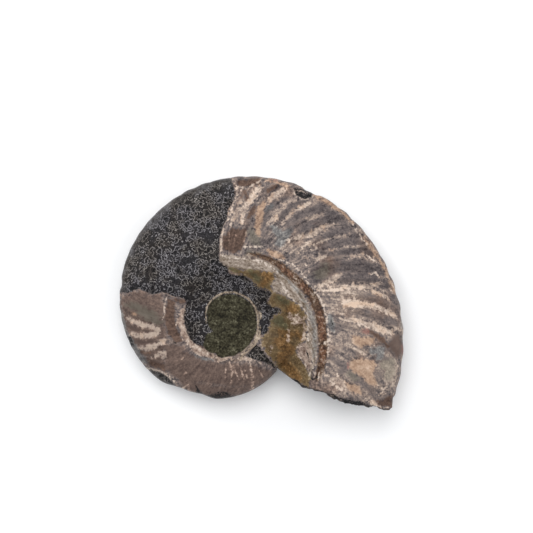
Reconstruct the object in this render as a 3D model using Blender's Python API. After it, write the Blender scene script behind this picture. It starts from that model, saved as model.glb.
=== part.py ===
# Ammonite fossil: one stone, coiled in a flat spiral, lying on one flank with the other facing up.
# Units are metres and degrees. A turn angle is counted clockwise from +X, seen from above, about the
# spiral's pole, and the shell grows along it from the notch, where the aperture meets the older whorl,
# round to the tip of the aperture.

import math

import bpy
from mathutils import Matrix, Vector, noise
from mathutils.geometry import delaunay_2d_cdt

# The spiral
NOTCH_ANGLE = 46.0
TIP_ANGLE = 387.0
NOTCH_RADIUS = 0.0196
WHORL_EXPANSION = 2.63
RIB_SPACING = 7.5
COLUMNS_PER_RIB = 4

# The whorl's section
FULL_HALF_THICKNESS = 0.0093
THICKNESS_GROWTH = 0.45
RIM_HALF_WIDTH = 0.0009
RIM_BULGE = 0.0006
FLANK_FULLNESS = 1.8
FLANK_SHARPNESS = 0.72

# The umbilicus, filled with sandstone inside a thin raised ring
HOLLOW_CENTRE = (0.0009, -0.0027)
HOLLOW_RADII = (0.0070, 0.0085)
HOLLOW_HEIGHT = 0.0047
HOLLOW_DISH = 0.0005
RING_HEIGHT = 0.0004
RING_WIDTH = 0.0007

# The umbilical shoulder's distance from the pole, as a share of the venter's, by turn angle
SHOULDER = (
    (46, 0.62), (100, 0.56), (140, 0.47), (190, 0.42), (264, 0.43),
    (300, 0.39), (331, 0.41), (360, 0.485), (390, 0.61), (406, 0.64),
)
SHOULDER_CLEARANCE = 0.0014
SEAM_RUN = 0.0100

# The crushed edge of the body chamber on the upper flank: a ridge on the shoulder, and a groove outside it
CRUSH_START, CRUSH_END = 268.0, 300.0
RIDGE_HEIGHT = 0.0004
RIDGE_WIDTH = 0.0007
GROOVE_OFFSET = 0.0025
GROOVE_DEPTH = 0.0007
GROOVE_WIDTH = 0.0010

# Ribs lean forward towards the venter, and the bare mould between two angles lies under the shell
RIB_HEIGHT = 0.00045
RIB_LEAN = 12.0
RIB_SWEEP = 1.5
RIB_FOOT, RIB_RISE = 0.15, 0.4
MOULD_RIB_SHARE = 0.35
MOULD_START, MOULD_END = 184.0, 262.5
SHELL_THICKNESS = 0.00035
LEDGE_RUN = 3.5
RIM_FADE = 0.08

# The venter is worn flat over one stretch, and chipped at two places: angle, half length, depth
WORN_STRETCHES = ((116.0, 20.0, 0.0011), (304.5, 4.5, 0.0006), (196.0, 4.0, 0.0003))
WORN_STEEPNESS = 1.5
VENTER_RIB_SHARE = 0.5

# The broken edge of the aperture, from the tip back to the notch, from the pole
APERTURE_EDGE = (
    (0.0432, -0.0243), (0.0425, -0.0248), (0.0405, -0.0249), (0.0388, -0.0240), (0.0352, -0.0233),
    (0.0300, -0.0224), (0.0272, -0.0209), (0.0226, -0.0195), (0.0200, -0.0185), (0.0181, -0.0175),
    (0.0162, -0.0161),
)
APERTURE_STEP = 0.0013
APERTURE_ROUGHNESS = 0.0007
APERTURE_GRAIN = 420.0
ROUGH_THICKNESS = 0.0030

# How the stone lies: its median plane leans up towards the aperture, and the lower flank is worn flat
# where it touches
LEAN = 2.4
WEAR_DEPTH = 0.0005

# Rows of points on a flank, as shares of the way from the shoulder to the venter, from the ring to the
# shoulder, and from the pole to the ring
FLANK_ROWS = (0.10, 0.25, 0.40, 0.55, 0.70, 0.83, 0.93)
WALL_ROWS = (0.33, 0.66)
HOLLOW_ROWS = (0.4, 0.8)
HOLLOW_POINTS = 32
POINT_CLEARANCE = 0.0004
SAME_POINT = 1e-9
RIM_ROWS = 5
CREASE_ANGLE = 50.0

STONE_COLOUR = (0.19, 0.155, 0.13, 1.0)
STONE_ROUGHNESS = 0.55


def smooth_step(value):
    """0 below 0, 1 above 1, and a smooth rise between."""
    value = min(1.0, max(0.0, value))
    return value * value * (3 - 2 * value)


def bump(distance, width):
    """A rounded ridge of height 1."""
    return math.exp(-((distance / width) ** 2))


def along_knots(knots, at):
    """A smooth curve through (place, value) knots."""
    places = [place for place, _ in knots]
    values = [value for _, value in knots]
    last = len(knots) - 1
    if at <= places[0]:
        return values[0]
    if at >= places[last]:
        return values[last]
    k = max(i for i in range(last) if places[i] <= at)
    before, after = max(k - 1, 0), min(k + 2, last)
    span = places[k + 1] - places[k]
    slope_in = (values[k + 1] - values[before]) / (places[k + 1] - places[before]) * span
    slope_out = (values[after] - values[k]) / (places[after] - places[k]) * span
    s = (at - places[k]) / span
    return (
        values[k] * (2 * s**3 - 3 * s**2 + 1)
        + slope_in * (s**3 - 2 * s**2 + s)
        + values[k + 1] * (3 * s**2 - 2 * s**3)
        + slope_out * (s**3 - s**2)
    )


def place_at(angle, radius):
    turned = math.radians(angle)
    return Vector((radius * math.cos(turned), -radius * math.sin(turned)))


def turn_of(point):
    """(angle, radius) of a point, with the angle counted on from the notch."""
    angle = math.degrees(math.atan2(-point.y, point.x)) % 360
    if angle < NOTCH_ANGLE:
        angle += 360
    return angle, point.length


def growth(angle):
    return WHORL_EXPANSION ** ((angle - NOTCH_ANGLE) / 360)


def venter_radius(angle):
    return NOTCH_RADIUS * growth(angle)


def half_thickness(angle):
    return FULL_HALF_THICKNESS * (growth(angle) / growth(TIP_ANGLE)) ** THICKNESS_GROWTH


def hollow_radius(angle):
    """Distance from the pole to the ring round the umbilicus."""
    (cx, cy), (rx, ry) = HOLLOW_CENTRE, HOLLOW_RADII
    d = place_at(angle, 1.0)
    a = (d.x / rx) ** 2 + (d.y / ry) ** 2
    b = d.x * cx / rx**2 + d.y * cy / ry**2
    c = (cx / rx) ** 2 + (cy / ry) ** 2 - 1
    return (b + math.sqrt(b * b - a * c)) / a


def shoulder_radius(angle):
    grown = along_knots(SHOULDER, angle) * venter_radius(angle)
    return max(grown, hollow_radius(angle) + SHOULDER_CLEARANCE)


def rib_lean(share):
    return RIB_LEAN * share**RIB_SWEEP


def bare_mould(angle, share):
    """1 where the shell has gone and the mould shows, 0 under the shell, which breaks along its ribs."""
    along = angle - rib_lean(share)
    started = smooth_step((along - MOULD_START) / LEDGE_RUN + 0.5)
    ended = smooth_step((along - MOULD_END) / LEDGE_RUN + 0.5)
    return started - ended


def rib_relief(angle, share):
    """Height of the ribs, which rise on the flank and grow along the shell."""
    phase = math.radians(360 * (angle - rib_lean(share)) / RIB_SPACING)
    strength = smooth_step((share - RIB_FOOT) / RIB_RISE)
    strength *= 1 - (1 - MOULD_RIB_SHARE) * bare_mould(angle, share)
    return RIB_HEIGHT * growth(angle) / growth(TIP_ANGLE) * strength * math.cos(phase)


def flank_profile(angle, radius):
    """Height of the smooth flank over the median plane, before ribs and breaks."""
    full = half_thickness(angle)
    shoulder, hollow = shoulder_radius(angle), hollow_radius(angle)
    if radius < shoulder:
        risen = smooth_step((radius - hollow) / (shoulder - hollow))
        return HOLLOW_HEIGHT + (full - HOLLOW_HEIGHT) * risen
    share = min(1.0, (radius - shoulder) / (venter_radius(angle) - shoulder))
    taper = (1 - share**FLANK_FULLNESS) ** FLANK_SHARPNESS
    return RIM_HALF_WIDTH + (full - RIM_HALF_WIDTH) * taper


def seam_distance(point):
    """Distance to the seam where the last whorl lands on the older one, from the ring out to the notch."""
    start = place_at(NOTCH_ANGLE, hollow_radius(NOTCH_ANGLE))
    run = place_at(NOTCH_ANGLE, NOTCH_RADIUS) - start
    share = min(1.0, max(0.0, (point - start).dot(run) / run.length_squared))
    return (point - start - run * share).length


def flank_height(point, upper):
    """Height of a flank over the median plane."""
    angle, radius = turn_of(point)
    height = flank_profile(angle, radius)
    shoulder, hollow = shoulder_radius(angle), hollow_radius(angle)
    share = min(1.0, max(0.0, (radius - shoulder) / (venter_radius(angle) - shoulder)))
    height += rib_relief(angle, share) * smooth_step((1 - share) / RIM_FADE)
    under_shell = bare_mould(angle, share) * smooth_step((radius - hollow) / SHOULDER_CLEARANCE)
    height -= SHELL_THICKNESS * under_shell * smooth_step((1 - share) / RIM_FADE)
    if upper:
        crushed = smooth_step((angle - CRUSH_START) / (CRUSH_END - CRUSH_START))
        height += crushed * RIDGE_HEIGHT * bump(radius - shoulder, RIDGE_WIDTH)
        height -= crushed * GROOVE_DEPTH * bump(radius - shoulder - GROOVE_OFFSET, GROOVE_WIDTH)
    if angle > NOTCH_ANGLE + 180:
        landing = flank_profile(NOTCH_ANGLE, min(radius, NOTCH_RADIUS))
        free = math.sin(math.pi / 2 * min(1.0, seam_distance(point) / SEAM_RUN))
        height = landing + (height - landing) * free
    dish = HOLLOW_DISH * smooth_step((hollow - radius) / hollow)
    return height - dish + RING_HEIGHT * bump(radius - hollow, RING_WIDTH)


def venter_outline():
    """Points along the venter from the notch to the tip."""
    points = []
    columns = round((TIP_ANGLE - NOTCH_ANGLE) / RIB_SPACING * COLUMNS_PER_RIB)
    for k in range(1, columns):
        angle = NOTCH_ANGLE + (TIP_ANGLE - NOTCH_ANGLE) * k / columns
        radius = venter_radius(angle) - RIM_BULGE
        radius += VENTER_RIB_SHARE * rib_relief(angle, 1.0)
        for middle, half_length, depth in WORN_STRETCHES:
            radius -= depth * smooth_step(WORN_STEEPNESS * (1 - abs(angle - middle) / half_length))
        points.append(place_at(angle, radius))
    return points


def aperture_outline():
    """Points along the broken edge of the aperture, from the tip back to the notch."""
    knots = [Vector(knot) for knot in APERTURE_EDGE]
    lengths = [0.0]
    for a, b in zip(knots, knots[1:]):
        lengths.append(lengths[-1] + (b - a).length)
    by_x = [(length, knot.x) for length, knot in zip(lengths, knots)]
    by_y = [(length, knot.y) for length, knot in zip(lengths, knots)]
    steps = round(lengths[-1] / APERTURE_STEP)
    places = [lengths[-1] * k / steps for k in range(steps)]
    return [Vector((along_knots(by_x, at), along_knots(by_y, at))) for at in places]


def clear_of(outline, point):
    """Whether a point lies inside the outline, at least the clearance away from it."""
    inside = False
    for a, b in zip(outline, outline[1:] + outline[:1]):
        run = b - a
        share = min(1.0, max(0.0, (point - a).dot(run) / run.length_squared))
        if (point - a - run * share).length < POINT_CLEARANCE:
            return False
        if (a.y > point.y) != (b.y > point.y):
            if point.x < a.x + run.x * (point.y - a.y) / run.y:
                inside = not inside
    return inside


def flank_points(outline, upper):
    """Points of a flank, in rows round the ring, the shoulder and the groove, and columns along the ribs."""
    points = [Vector(HOLLOW_CENTRE)]
    for k in range(HOLLOW_POINTS):
        angle = NOTCH_ANGLE + 360 * k / HOLLOW_POINTS
        ring = hollow_radius(angle)
        radii = [ring * share for share in HOLLOW_ROWS[k % 2:]]
        radii += [ring - RING_WIDTH, ring, ring + RING_WIDTH]
        points += [place_at(angle, radius) for radius in radii]
    columns = round(360 / RIB_SPACING * COLUMNS_PER_RIB)
    for k in range(columns):
        angle = NOTCH_ANGLE + 360 * (k + 0.5) / columns
        shoulder, ring = shoulder_radius(angle), hollow_radius(angle)
        if k % 2 == 0:
            points.append(place_at(angle, shoulder))
            points += [place_at(angle, ring + (shoulder - ring) * share) for share in WALL_ROWS]
            if upper and angle > CRUSH_START:
                points.append(place_at(angle, shoulder + GROOVE_OFFSET - GROOVE_WIDTH))
                points.append(place_at(angle, shoulder + GROOVE_OFFSET))
                points.append(place_at(angle, shoulder + GROOVE_OFFSET + GROOVE_WIDTH))
        for share in FLANK_ROWS[2 * (k % 2):]:
            leaned = angle + rib_lean(share) - rib_lean(1.0)
            if leaned > NOTCH_ANGLE:
                start = shoulder_radius(leaned)
                points.append(place_at(leaned, start + (venter_radius(leaned) - start) * share))
    kept = []
    for point in points:
        near = any((point - other).length < POINT_CLEARANCE for other in kept)
        if not near and clear_of(outline, point):
            kept.append(point)
    return kept


def triangulate(outline, inside):
    """Triangles over the outline's points and then those inside it, by index, seen from above."""
    count = len(outline)
    edges = [(k, (k + 1) % count) for k in range(count)]
    spots, _, found, origins, _, _ = delaunay_2d_cdt([*outline, *inside], edges, [], 1, SAME_POINT)
    triangles = []
    for face in found:
        a, b, c = (spots[k] for k in face)
        corners = [origins[k][0] for k in face]
        triangles.append(corners if (b - a).cross(c - a) > 0 else corners[::-1])
    return triangles


def rim_points(outline, on_venter, upper_edge, lower_edge):
    """Rows of points down the rim: a rounded keel along the venter, broken stone across the aperture."""
    rows = []
    count = len(outline)
    for row in range(1, RIM_ROWS):
        share = row / RIM_ROWS
        points = []
        for k in range(count):
            along = outline[(k + 1) % count] - outline[k - 1]
            outward = Vector((-along.y, along.x)).normalized()
            z = upper_edge[k] + (lower_edge[k] - upper_edge[k]) * share
            offset = RIM_BULGE * math.sin(math.pi * share)
            if k >= on_venter:
                rough = noise.noise(Vector((*outline[k], z)) * APERTURE_GRAIN)
                fade = smooth_step((upper_edge[k] - lower_edge[k]) / ROUGH_THICKNESS - 1)
                offset = APERTURE_ROUGHNESS * rough * fade
            spot = outline[k] + outward * offset
            points.append(Vector((spot.x, spot.y, z)))
        rows.append(points)
    return rows


def stone_geometry():
    """Points and faces of the whole stone, about the pole, with its median plane level."""
    venter = venter_outline()
    outline = venter + aperture_outline()
    count = len(outline)
    upper_inside, lower_inside = flank_points(outline, True), flank_points(outline, False)
    upper = [Vector((p.x, p.y, flank_height(p, True))) for p in outline + upper_inside]
    lower = [Vector((p.x, p.y, -flank_height(p, False))) for p in outline + lower_inside]
    rim = rim_points(outline, len(venter), [p.z for p in upper[:count]], [p.z for p in lower[:count]])
    points = [*upper, *lower]
    faces = list(triangulate(outline, upper_inside))
    faces += [[len(upper) + k for k in face[::-1]] for face in triangulate(outline, lower_inside)]
    rows = [list(range(count))]
    for row in rim:
        rows.append([len(points) + k for k in range(count)])
        points += row
    rows.append([len(upper) + k for k in range(count)])
    for above, below in zip(rows, rows[1:]):
        for k in range(count):
            n = (k + 1) % count
            faces.append([above[k], above[n], below[k]])
            faces.append([above[n], below[n], below[k]])
    return points, faces


def laid_down(points):
    """The points with the stone lying on its lower flank, its box's bottom centre at the origin."""
    lean = Matrix.Rotation(math.radians(-LEAN), 3, "Y")
    turned = [lean @ point for point in points]
    floor = min(point.z for point in turned) + WEAR_DEPTH
    middle_x = (min(p.x for p in turned) + max(p.x for p in turned)) / 2
    middle_y = (min(p.y for p in turned) + max(p.y for p in turned)) / 2
    return [(p.x - middle_x, p.y - middle_y, max(p.z - floor, 0.0)) for p in turned]


def stone_material():
    material = bpy.data.materials.new("fossil_stone")
    material.use_nodes = True
    shader = material.node_tree.nodes["Principled BSDF"]
    shader.inputs["Base Color"].default_value = STONE_COLOUR
    shader.inputs["Roughness"].default_value = STONE_ROUGHNESS
    shader.inputs["Metallic"].default_value = 0.0
    material.diffuse_color = STONE_COLOUR
    return material


def build_ammonite():
    points, faces = stone_geometry()
    mesh = bpy.data.meshes.new("ammonite")
    mesh.from_pydata(laid_down(points), [], faces)
    mesh.validate()
    mesh.shade_smooth()
    mesh.set_sharp_from_angle(angle=math.radians(CREASE_ANGLE))
    mesh.materials.append(stone_material())
    stone = bpy.data.objects.new("ammonite", mesh)
    bpy.context.scene.collection.objects.link(stone)
    return stone


def main():
    for old in list(bpy.data.objects):
        bpy.data.objects.remove(old)
    build_ammonite()


main()
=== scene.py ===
import math

import bpy
import numpy as np
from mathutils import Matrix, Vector, noise
from mathutils.geometry import delaunay_2d_cdt


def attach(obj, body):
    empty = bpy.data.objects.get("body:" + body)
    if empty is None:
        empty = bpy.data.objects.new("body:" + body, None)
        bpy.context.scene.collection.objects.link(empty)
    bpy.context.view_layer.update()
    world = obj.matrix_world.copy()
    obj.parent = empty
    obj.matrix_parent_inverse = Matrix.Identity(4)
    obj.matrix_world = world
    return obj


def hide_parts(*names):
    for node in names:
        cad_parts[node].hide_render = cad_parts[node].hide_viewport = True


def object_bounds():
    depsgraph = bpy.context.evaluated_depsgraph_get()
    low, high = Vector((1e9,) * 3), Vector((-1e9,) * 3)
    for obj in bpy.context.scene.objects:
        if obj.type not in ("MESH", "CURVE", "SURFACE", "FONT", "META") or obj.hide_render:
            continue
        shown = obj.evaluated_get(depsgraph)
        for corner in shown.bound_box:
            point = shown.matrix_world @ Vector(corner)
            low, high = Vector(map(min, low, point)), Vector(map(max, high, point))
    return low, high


# Ammonite fossil lying on one flank, the camera straight above the other.
# Shapes are worked out in millimetres about the coil's pole, and marks in pixels of the 533 x 533 picture.

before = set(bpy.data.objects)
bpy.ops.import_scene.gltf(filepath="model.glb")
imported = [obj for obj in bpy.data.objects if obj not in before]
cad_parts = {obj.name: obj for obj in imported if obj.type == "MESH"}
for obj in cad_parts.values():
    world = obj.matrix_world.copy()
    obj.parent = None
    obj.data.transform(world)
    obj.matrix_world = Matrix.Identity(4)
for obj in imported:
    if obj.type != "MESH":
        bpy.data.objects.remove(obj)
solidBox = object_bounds()
print("frame loaded, box", [tuple(round(v * 1000, 2) for v in corner) for corner in solidBox])

picture = {
    "pixels": 533,
    "lens": 100.0,                      # mm, on a sensor 36 mm wide
    "sensor": 36.0,
    "millimetresPerPixel": 0.262,       # at the height of the stone's median plane
    "middle": (261.0, 293.0),           # pixel over the middle of the stone's box
}


def cameraPlace():
    low, high = solidBox
    span = picture["pixels"] * picture["millimetresPerPixel"] / 1000
    centre = picture["pixels"] / 2
    side = picture["millimetresPerPixel"] / 1000
    x = (low.x + high.x) / 2 + (centre - picture["middle"][0]) * side
    y = (low.y + high.y) / 2 - (centre - picture["middle"][1]) * side
    return Vector((x, y, (low.z + high.z) / 2 + span * picture["lens"] / picture["sensor"]))


def pictureSpot(points, flat=False):    # pixel where the camera sees a point; flat leaves perspective out
    eye = cameraPlace()
    focal = picture["lens"] / picture["sensor"] * picture["pixels"]
    middle = (solidBox[0].z + solidBox[1].z) / 2
    depth = eye.z - (np.full(len(points), middle) if flat else points[:, 2])
    column = picture["pixels"] / 2 + focal * (points[:, 0] - eye.x) / depth
    row = picture["pixels"] / 2 - focal * (points[:, 1] - eye.y) / depth
    return np.stack([column, row], 1)


coil = {
    "notchAngle": 46.0,                 # clockwise from +X seen from above, growing to the tip
    "tipAngle": 387.0,
    "notchRadius": 19.6,
    "expansion": 2.63,                  # a turn
    "ribSpacing": 7.5,
    "ribLean": 12.0,
    "ribSweep": 1.5,
    "ribFoot": 0.15,
    "ribRise": 0.4,
    "ribHeight": 0.45,
    "venterRibShare": 0.35,
    "ribStrength": [(46, 0.15), (110, 0.2), (150, 0.55), (184, 0.8), (262, 0.9), (300, 1.0), (387, 1.0),
                    (410, 1.0)],
    "halfThickness": 9.3,
    "thickening": 0.45,
    "rimHalfWidth": 0.9,
    "rimBulge": 0.6,
    "rimFade": 0.08,
    "fullness": 1.8,
    "sharpness": 0.72,
    "lean": 2.4,
    "worn": [(116.0, 20.0, 1.1), (304.5, 4.5, 0.6), (196.0, 4.0, 0.3)],     # angle, half length, depth
    "wornSteepness": 1.5,
    "shoulder": [(46, 0.62), (100, 0.56), (140, 0.47), (190, 0.42), (264, 0.43),
                 (300, 0.39), (331, 0.41), (360, 0.485), (390, 0.61), (406, 0.64)],
    "shoulderClearance": 1.4,
    "seamRun": 10.0,
    "hollowCentre": (0.9, -2.7),
    "hollowRadii": (7.0, 8.5),
    "hollowHeight": 4.7,
    "hollowDish": 0.5,
    "aperture": [(43.2, -24.3), (42.5, -24.8), (40.5, -24.9), (38.8, -24.0), (35.2, -23.3), (30.0, -22.4),
                 (27.2, -20.9), (22.6, -19.5), (20.0, -18.5), (18.1, -17.5), (16.2, -16.1)],
    "ragged": (0.5, 3.1, 0.45, 2.5),    # the broken edge: bite, its size, set back, run at the ends
}
grid = {
    "upperPitch": 0.29,
    "lowerPitch": 0.50,
    "venterPitch": 0.33,
    "wallPitch": 0.42,
    "keelRows": 8,
    "clearance": 0.6,                   # of the pitch, from an edge
}


def smoothStep(value):
    value = np.clip(value, 0.0, 1.0)
    return value * value * (3 - 2 * value)


def bump(distance, width):
    return np.exp(-((distance / width) ** 2))


def smoothCurve(knots, at):             # a smooth curve through (place, value) knots
    places, values = (np.array(column, float) for column in zip(*knots))
    slopes = np.gradient(values, places)
    k = np.clip(np.searchsorted(places, at, side="right") - 1, 0, len(places) - 2)
    span = places[k + 1] - places[k]
    s = np.clip((at - places[k]) / span, 0, 1)
    return (values[k] * (2 * s**3 - 3 * s**2 + 1) + slopes[k] * span * (s**3 - 2 * s**2 + s)
            + values[k + 1] * (3 * s**2 - 2 * s**3) + slopes[k + 1] * span * (s**3 - s**2))


def turnOf(x, y):
    angle = np.degrees(np.arctan2(-y, x)) % 360
    return np.where(angle < coil["notchAngle"], angle + 360, angle), np.hypot(x, y)


def placeAt(angle, radius):
    turned = np.radians(angle)
    return radius * np.cos(turned), -radius * np.sin(turned)


def growth(angle):
    return coil["expansion"] ** ((angle - coil["notchAngle"]) / 360)


def venterRadius(angle):
    return coil["notchRadius"] * growth(angle)


def halfThickness(angle):
    return coil["halfThickness"] * (growth(angle) / growth(coil["tipAngle"])) ** coil["thickening"]


def hollowRadius(angle):
    (cx, cy), (rx, ry) = coil["hollowCentre"], coil["hollowRadii"]
    dx, dy = placeAt(angle, 1.0)
    a = (dx / rx) ** 2 + (dy / ry) ** 2
    b = dx * cx / rx**2 + dy * cy / ry**2
    c = (cx / rx) ** 2 + (cy / ry) ** 2 - 1
    return (b + np.sqrt(b * b - a * c)) / a


def shoulderRadius(angle):
    grown = smoothCurve(coil["shoulder"], angle) * venterRadius(angle)
    return np.maximum(grown, hollowRadius(angle) + coil["shoulderClearance"])


def flankShare(angle, radius):          # 0 at the umbilical shoulder, 1 at the venter
    shoulder = shoulderRadius(angle)
    return np.clip((radius - shoulder) / (venterRadius(angle) - shoulder), 0, 1)


def ribTurn(angle, share):              # counts ribs along the shell
    return (angle - coil["ribLean"] * share ** coil["ribSweep"]) / coil["ribSpacing"]


def ribRelief(angle, share):
    strength = smoothStep((share - coil["ribFoot"]) / coil["ribRise"])
    height = coil["ribHeight"] * growth(angle) / growth(coil["tipAngle"])
    height = height * smoothCurve(coil["ribStrength"], angle)
    turn = ribTurn(angle, share)
    uneven = 0.75 + 0.5 * np.sin(2.4 * np.floor(turn + 0.5) ** 1.5)
    return height * strength * uneven * np.cos(2 * np.pi * turn)


def flankProfile(angle, radius):
    full, rim = halfThickness(angle), coil["rimHalfWidth"]
    shoulder, hollow = shoulderRadius(angle), hollowRadius(angle)
    climb = smoothStep((radius - hollow) / (shoulder - hollow))
    wall = coil["hollowHeight"] + (full - coil["hollowHeight"]) * climb
    share = flankShare(angle, radius)
    flank = rim + (full - rim) * (1 - share ** coil["fullness"]) ** coil["sharpness"]
    return np.where(radius < shoulder, wall, flank)


def segmentDistance(x, y, a, b):        # distance to a segment, and how far along it
    runX, runY = b[0] - a[0], b[1] - a[1]
    along = np.clip(((x - a[0]) * runX + (y - a[1]) * runY) / max(runX**2 + runY**2, 1e-12), 0, 1)
    return np.hypot(x - a[0] - runX * along, y - a[1] - runY * along), along


def areaDepth(x, y, outline):           # distance inside a closed outline, negative outside
    nearest = np.full(len(x), 1e9)
    inside = np.zeros(len(x), bool)
    for a, b in zip(outline, [*outline[1:], outline[0]]):
        nearest = np.minimum(nearest, segmentDistance(x, y, a, b)[0])
        if a[1] != b[1]:
            crosses = (a[1] > y) != (b[1] > y)
            inside ^= crosses & (x < a[0] + (b[0] - a[0]) * (y - a[1]) / (b[1] - a[1]))
    return np.where(inside, nearest, -nearest)


def strokeDepth(x, y, path):            # distance inside a stroke of (x, y, half width) points
    depth = np.full(len(x), -1e9)
    for a, b in zip(path, path[1:]):
        away, along = segmentDistance(x, y, a, b)
        depth = np.maximum(depth, a[2] + (b[2] - a[2]) * along - away)
    return depth


def fractal(points, size, octaves=3):   # noise about 0, with features of this size in the points' own unit
    return np.array([noise.fractal(Vector(p), 1.0, 2.0, octaves) for p in (points / size).tolist()])


def venterOutline():                    # points evenly spaced along the spiral, without its two ends
    start, end = coil["notchAngle"], coil["tipAngle"]
    rate = math.log(coil["expansion"]) / 360
    grown = math.exp(rate * (end - start))
    steps = round(coil["notchRadius"] * (grown - 1) / math.degrees(rate) / grid["venterPitch"])
    angle = start + np.log(1 + np.arange(1, steps) / steps * (grown - 1)) / rate
    radius = venterRadius(angle) - coil["rimBulge"]
    radius += coil["venterRibShare"] * ribRelief(angle, np.ones(len(angle)))
    for middle, halfLength, depth in coil["worn"]:
        radius -= depth * smoothStep(coil["wornSteepness"] * (1 - abs(angle - middle) / halfLength))
    x, y = placeAt(angle, radius)
    return np.stack([x, y], 1)


def apertureOutline():                  # from the tip back to the notch, with a ragged broken edge
    knots = np.array(coil["aperture"])
    lengths = np.concatenate([[0], np.cumsum(np.hypot(*np.diff(knots, axis=0).T))])
    at = np.linspace(0, lengths[-1], round(lengths[-1] / grid["venterPitch"]))
    x = smoothCurve(list(zip(lengths, knots[:, 0])), at)
    y = smoothCurve(list(zip(lengths, knots[:, 1])), at)
    line = np.stack([x, y, np.zeros(len(x))], 1)
    ends = np.minimum(at, lengths[-1] - at)
    bite, size, setBack, run = coil["ragged"]
    ragged = (bite * fractal(line + 31.0, size) - setBack) * smoothStep(ends / run)
    along = np.gradient(line[:, :2], axis=0)
    outward = np.stack([-along[:, 1], along[:, 0]], 1) / np.hypot(*along.T)[:, None]
    return line[:, :2] + outward * ragged[:, None], at


def fillPoints(outline, pitch):         # a triangular grid of points inside an outline, clear of its edge
    low, high = outline.min(0), outline.max(0)
    rows = np.arange(low[1], high[1], pitch * math.sqrt(3) / 2)
    found = []
    for k, y in enumerate(rows):
        x = np.arange(low[0] + (k % 2) * pitch / 2, high[0], pitch)
        found.append(np.stack([x, np.full(len(x), y)], 1))
    found = np.concatenate(found)
    depth = areaDepth(found[:, 0], found[:, 1], outline.tolist())
    return found[depth > grid["clearance"] * pitch]


def triangulate(outline, inside):       # triangles by index over the outline's points and then those inside
    count = len(outline)
    spots = [Vector(p) for p in np.concatenate([outline, inside]).tolist()]
    edges = [(k, (k + 1) % count) for k in range(count)]
    _, _, faces, origins, _, _ = delaunay_2d_cdt(spots, edges, [], 1, 1e-6)
    faces = np.array([[origins[k][0] for k in face] for face in faces])
    flat = np.array([tuple(spot) for spot in spots])
    a, b, c = (flat[faces[:, k]] for k in range(3))
    turned = np.cross(b - a, c - a) < 0
    faces[turned] = faces[turned][:, ::-1]
    return faces


def landOnOlder(height, angle, radius, x, y):   # the last whorl rises from the seam on the older one
    ring = placeAt(coil["notchAngle"], hollowRadius(np.array(coil["notchAngle"])))
    away, _ = segmentDistance(x, y, ring, placeAt(coil["notchAngle"], coil["notchRadius"]))
    landing = flankProfile(np.full(len(x), coil["notchAngle"]), np.minimum(radius, coil["notchRadius"]))
    free = np.sin(np.pi / 2 * np.minimum(1, away / coil["seamRun"]))
    late = angle > coil["notchAngle"] + 180
    return np.where(late, landing + (height - landing) * free, height)


def layDown(points):                    # leans the stone onto its lower flank
    turn = math.radians(-coil["lean"])
    x = points[:, 0] * math.cos(turn) + points[:, 2] * math.sin(turn)
    z = -points[:, 0] * math.sin(turn) + points[:, 2] * math.cos(turn)
    return np.stack([x, points[:, 1], z], 1)


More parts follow.
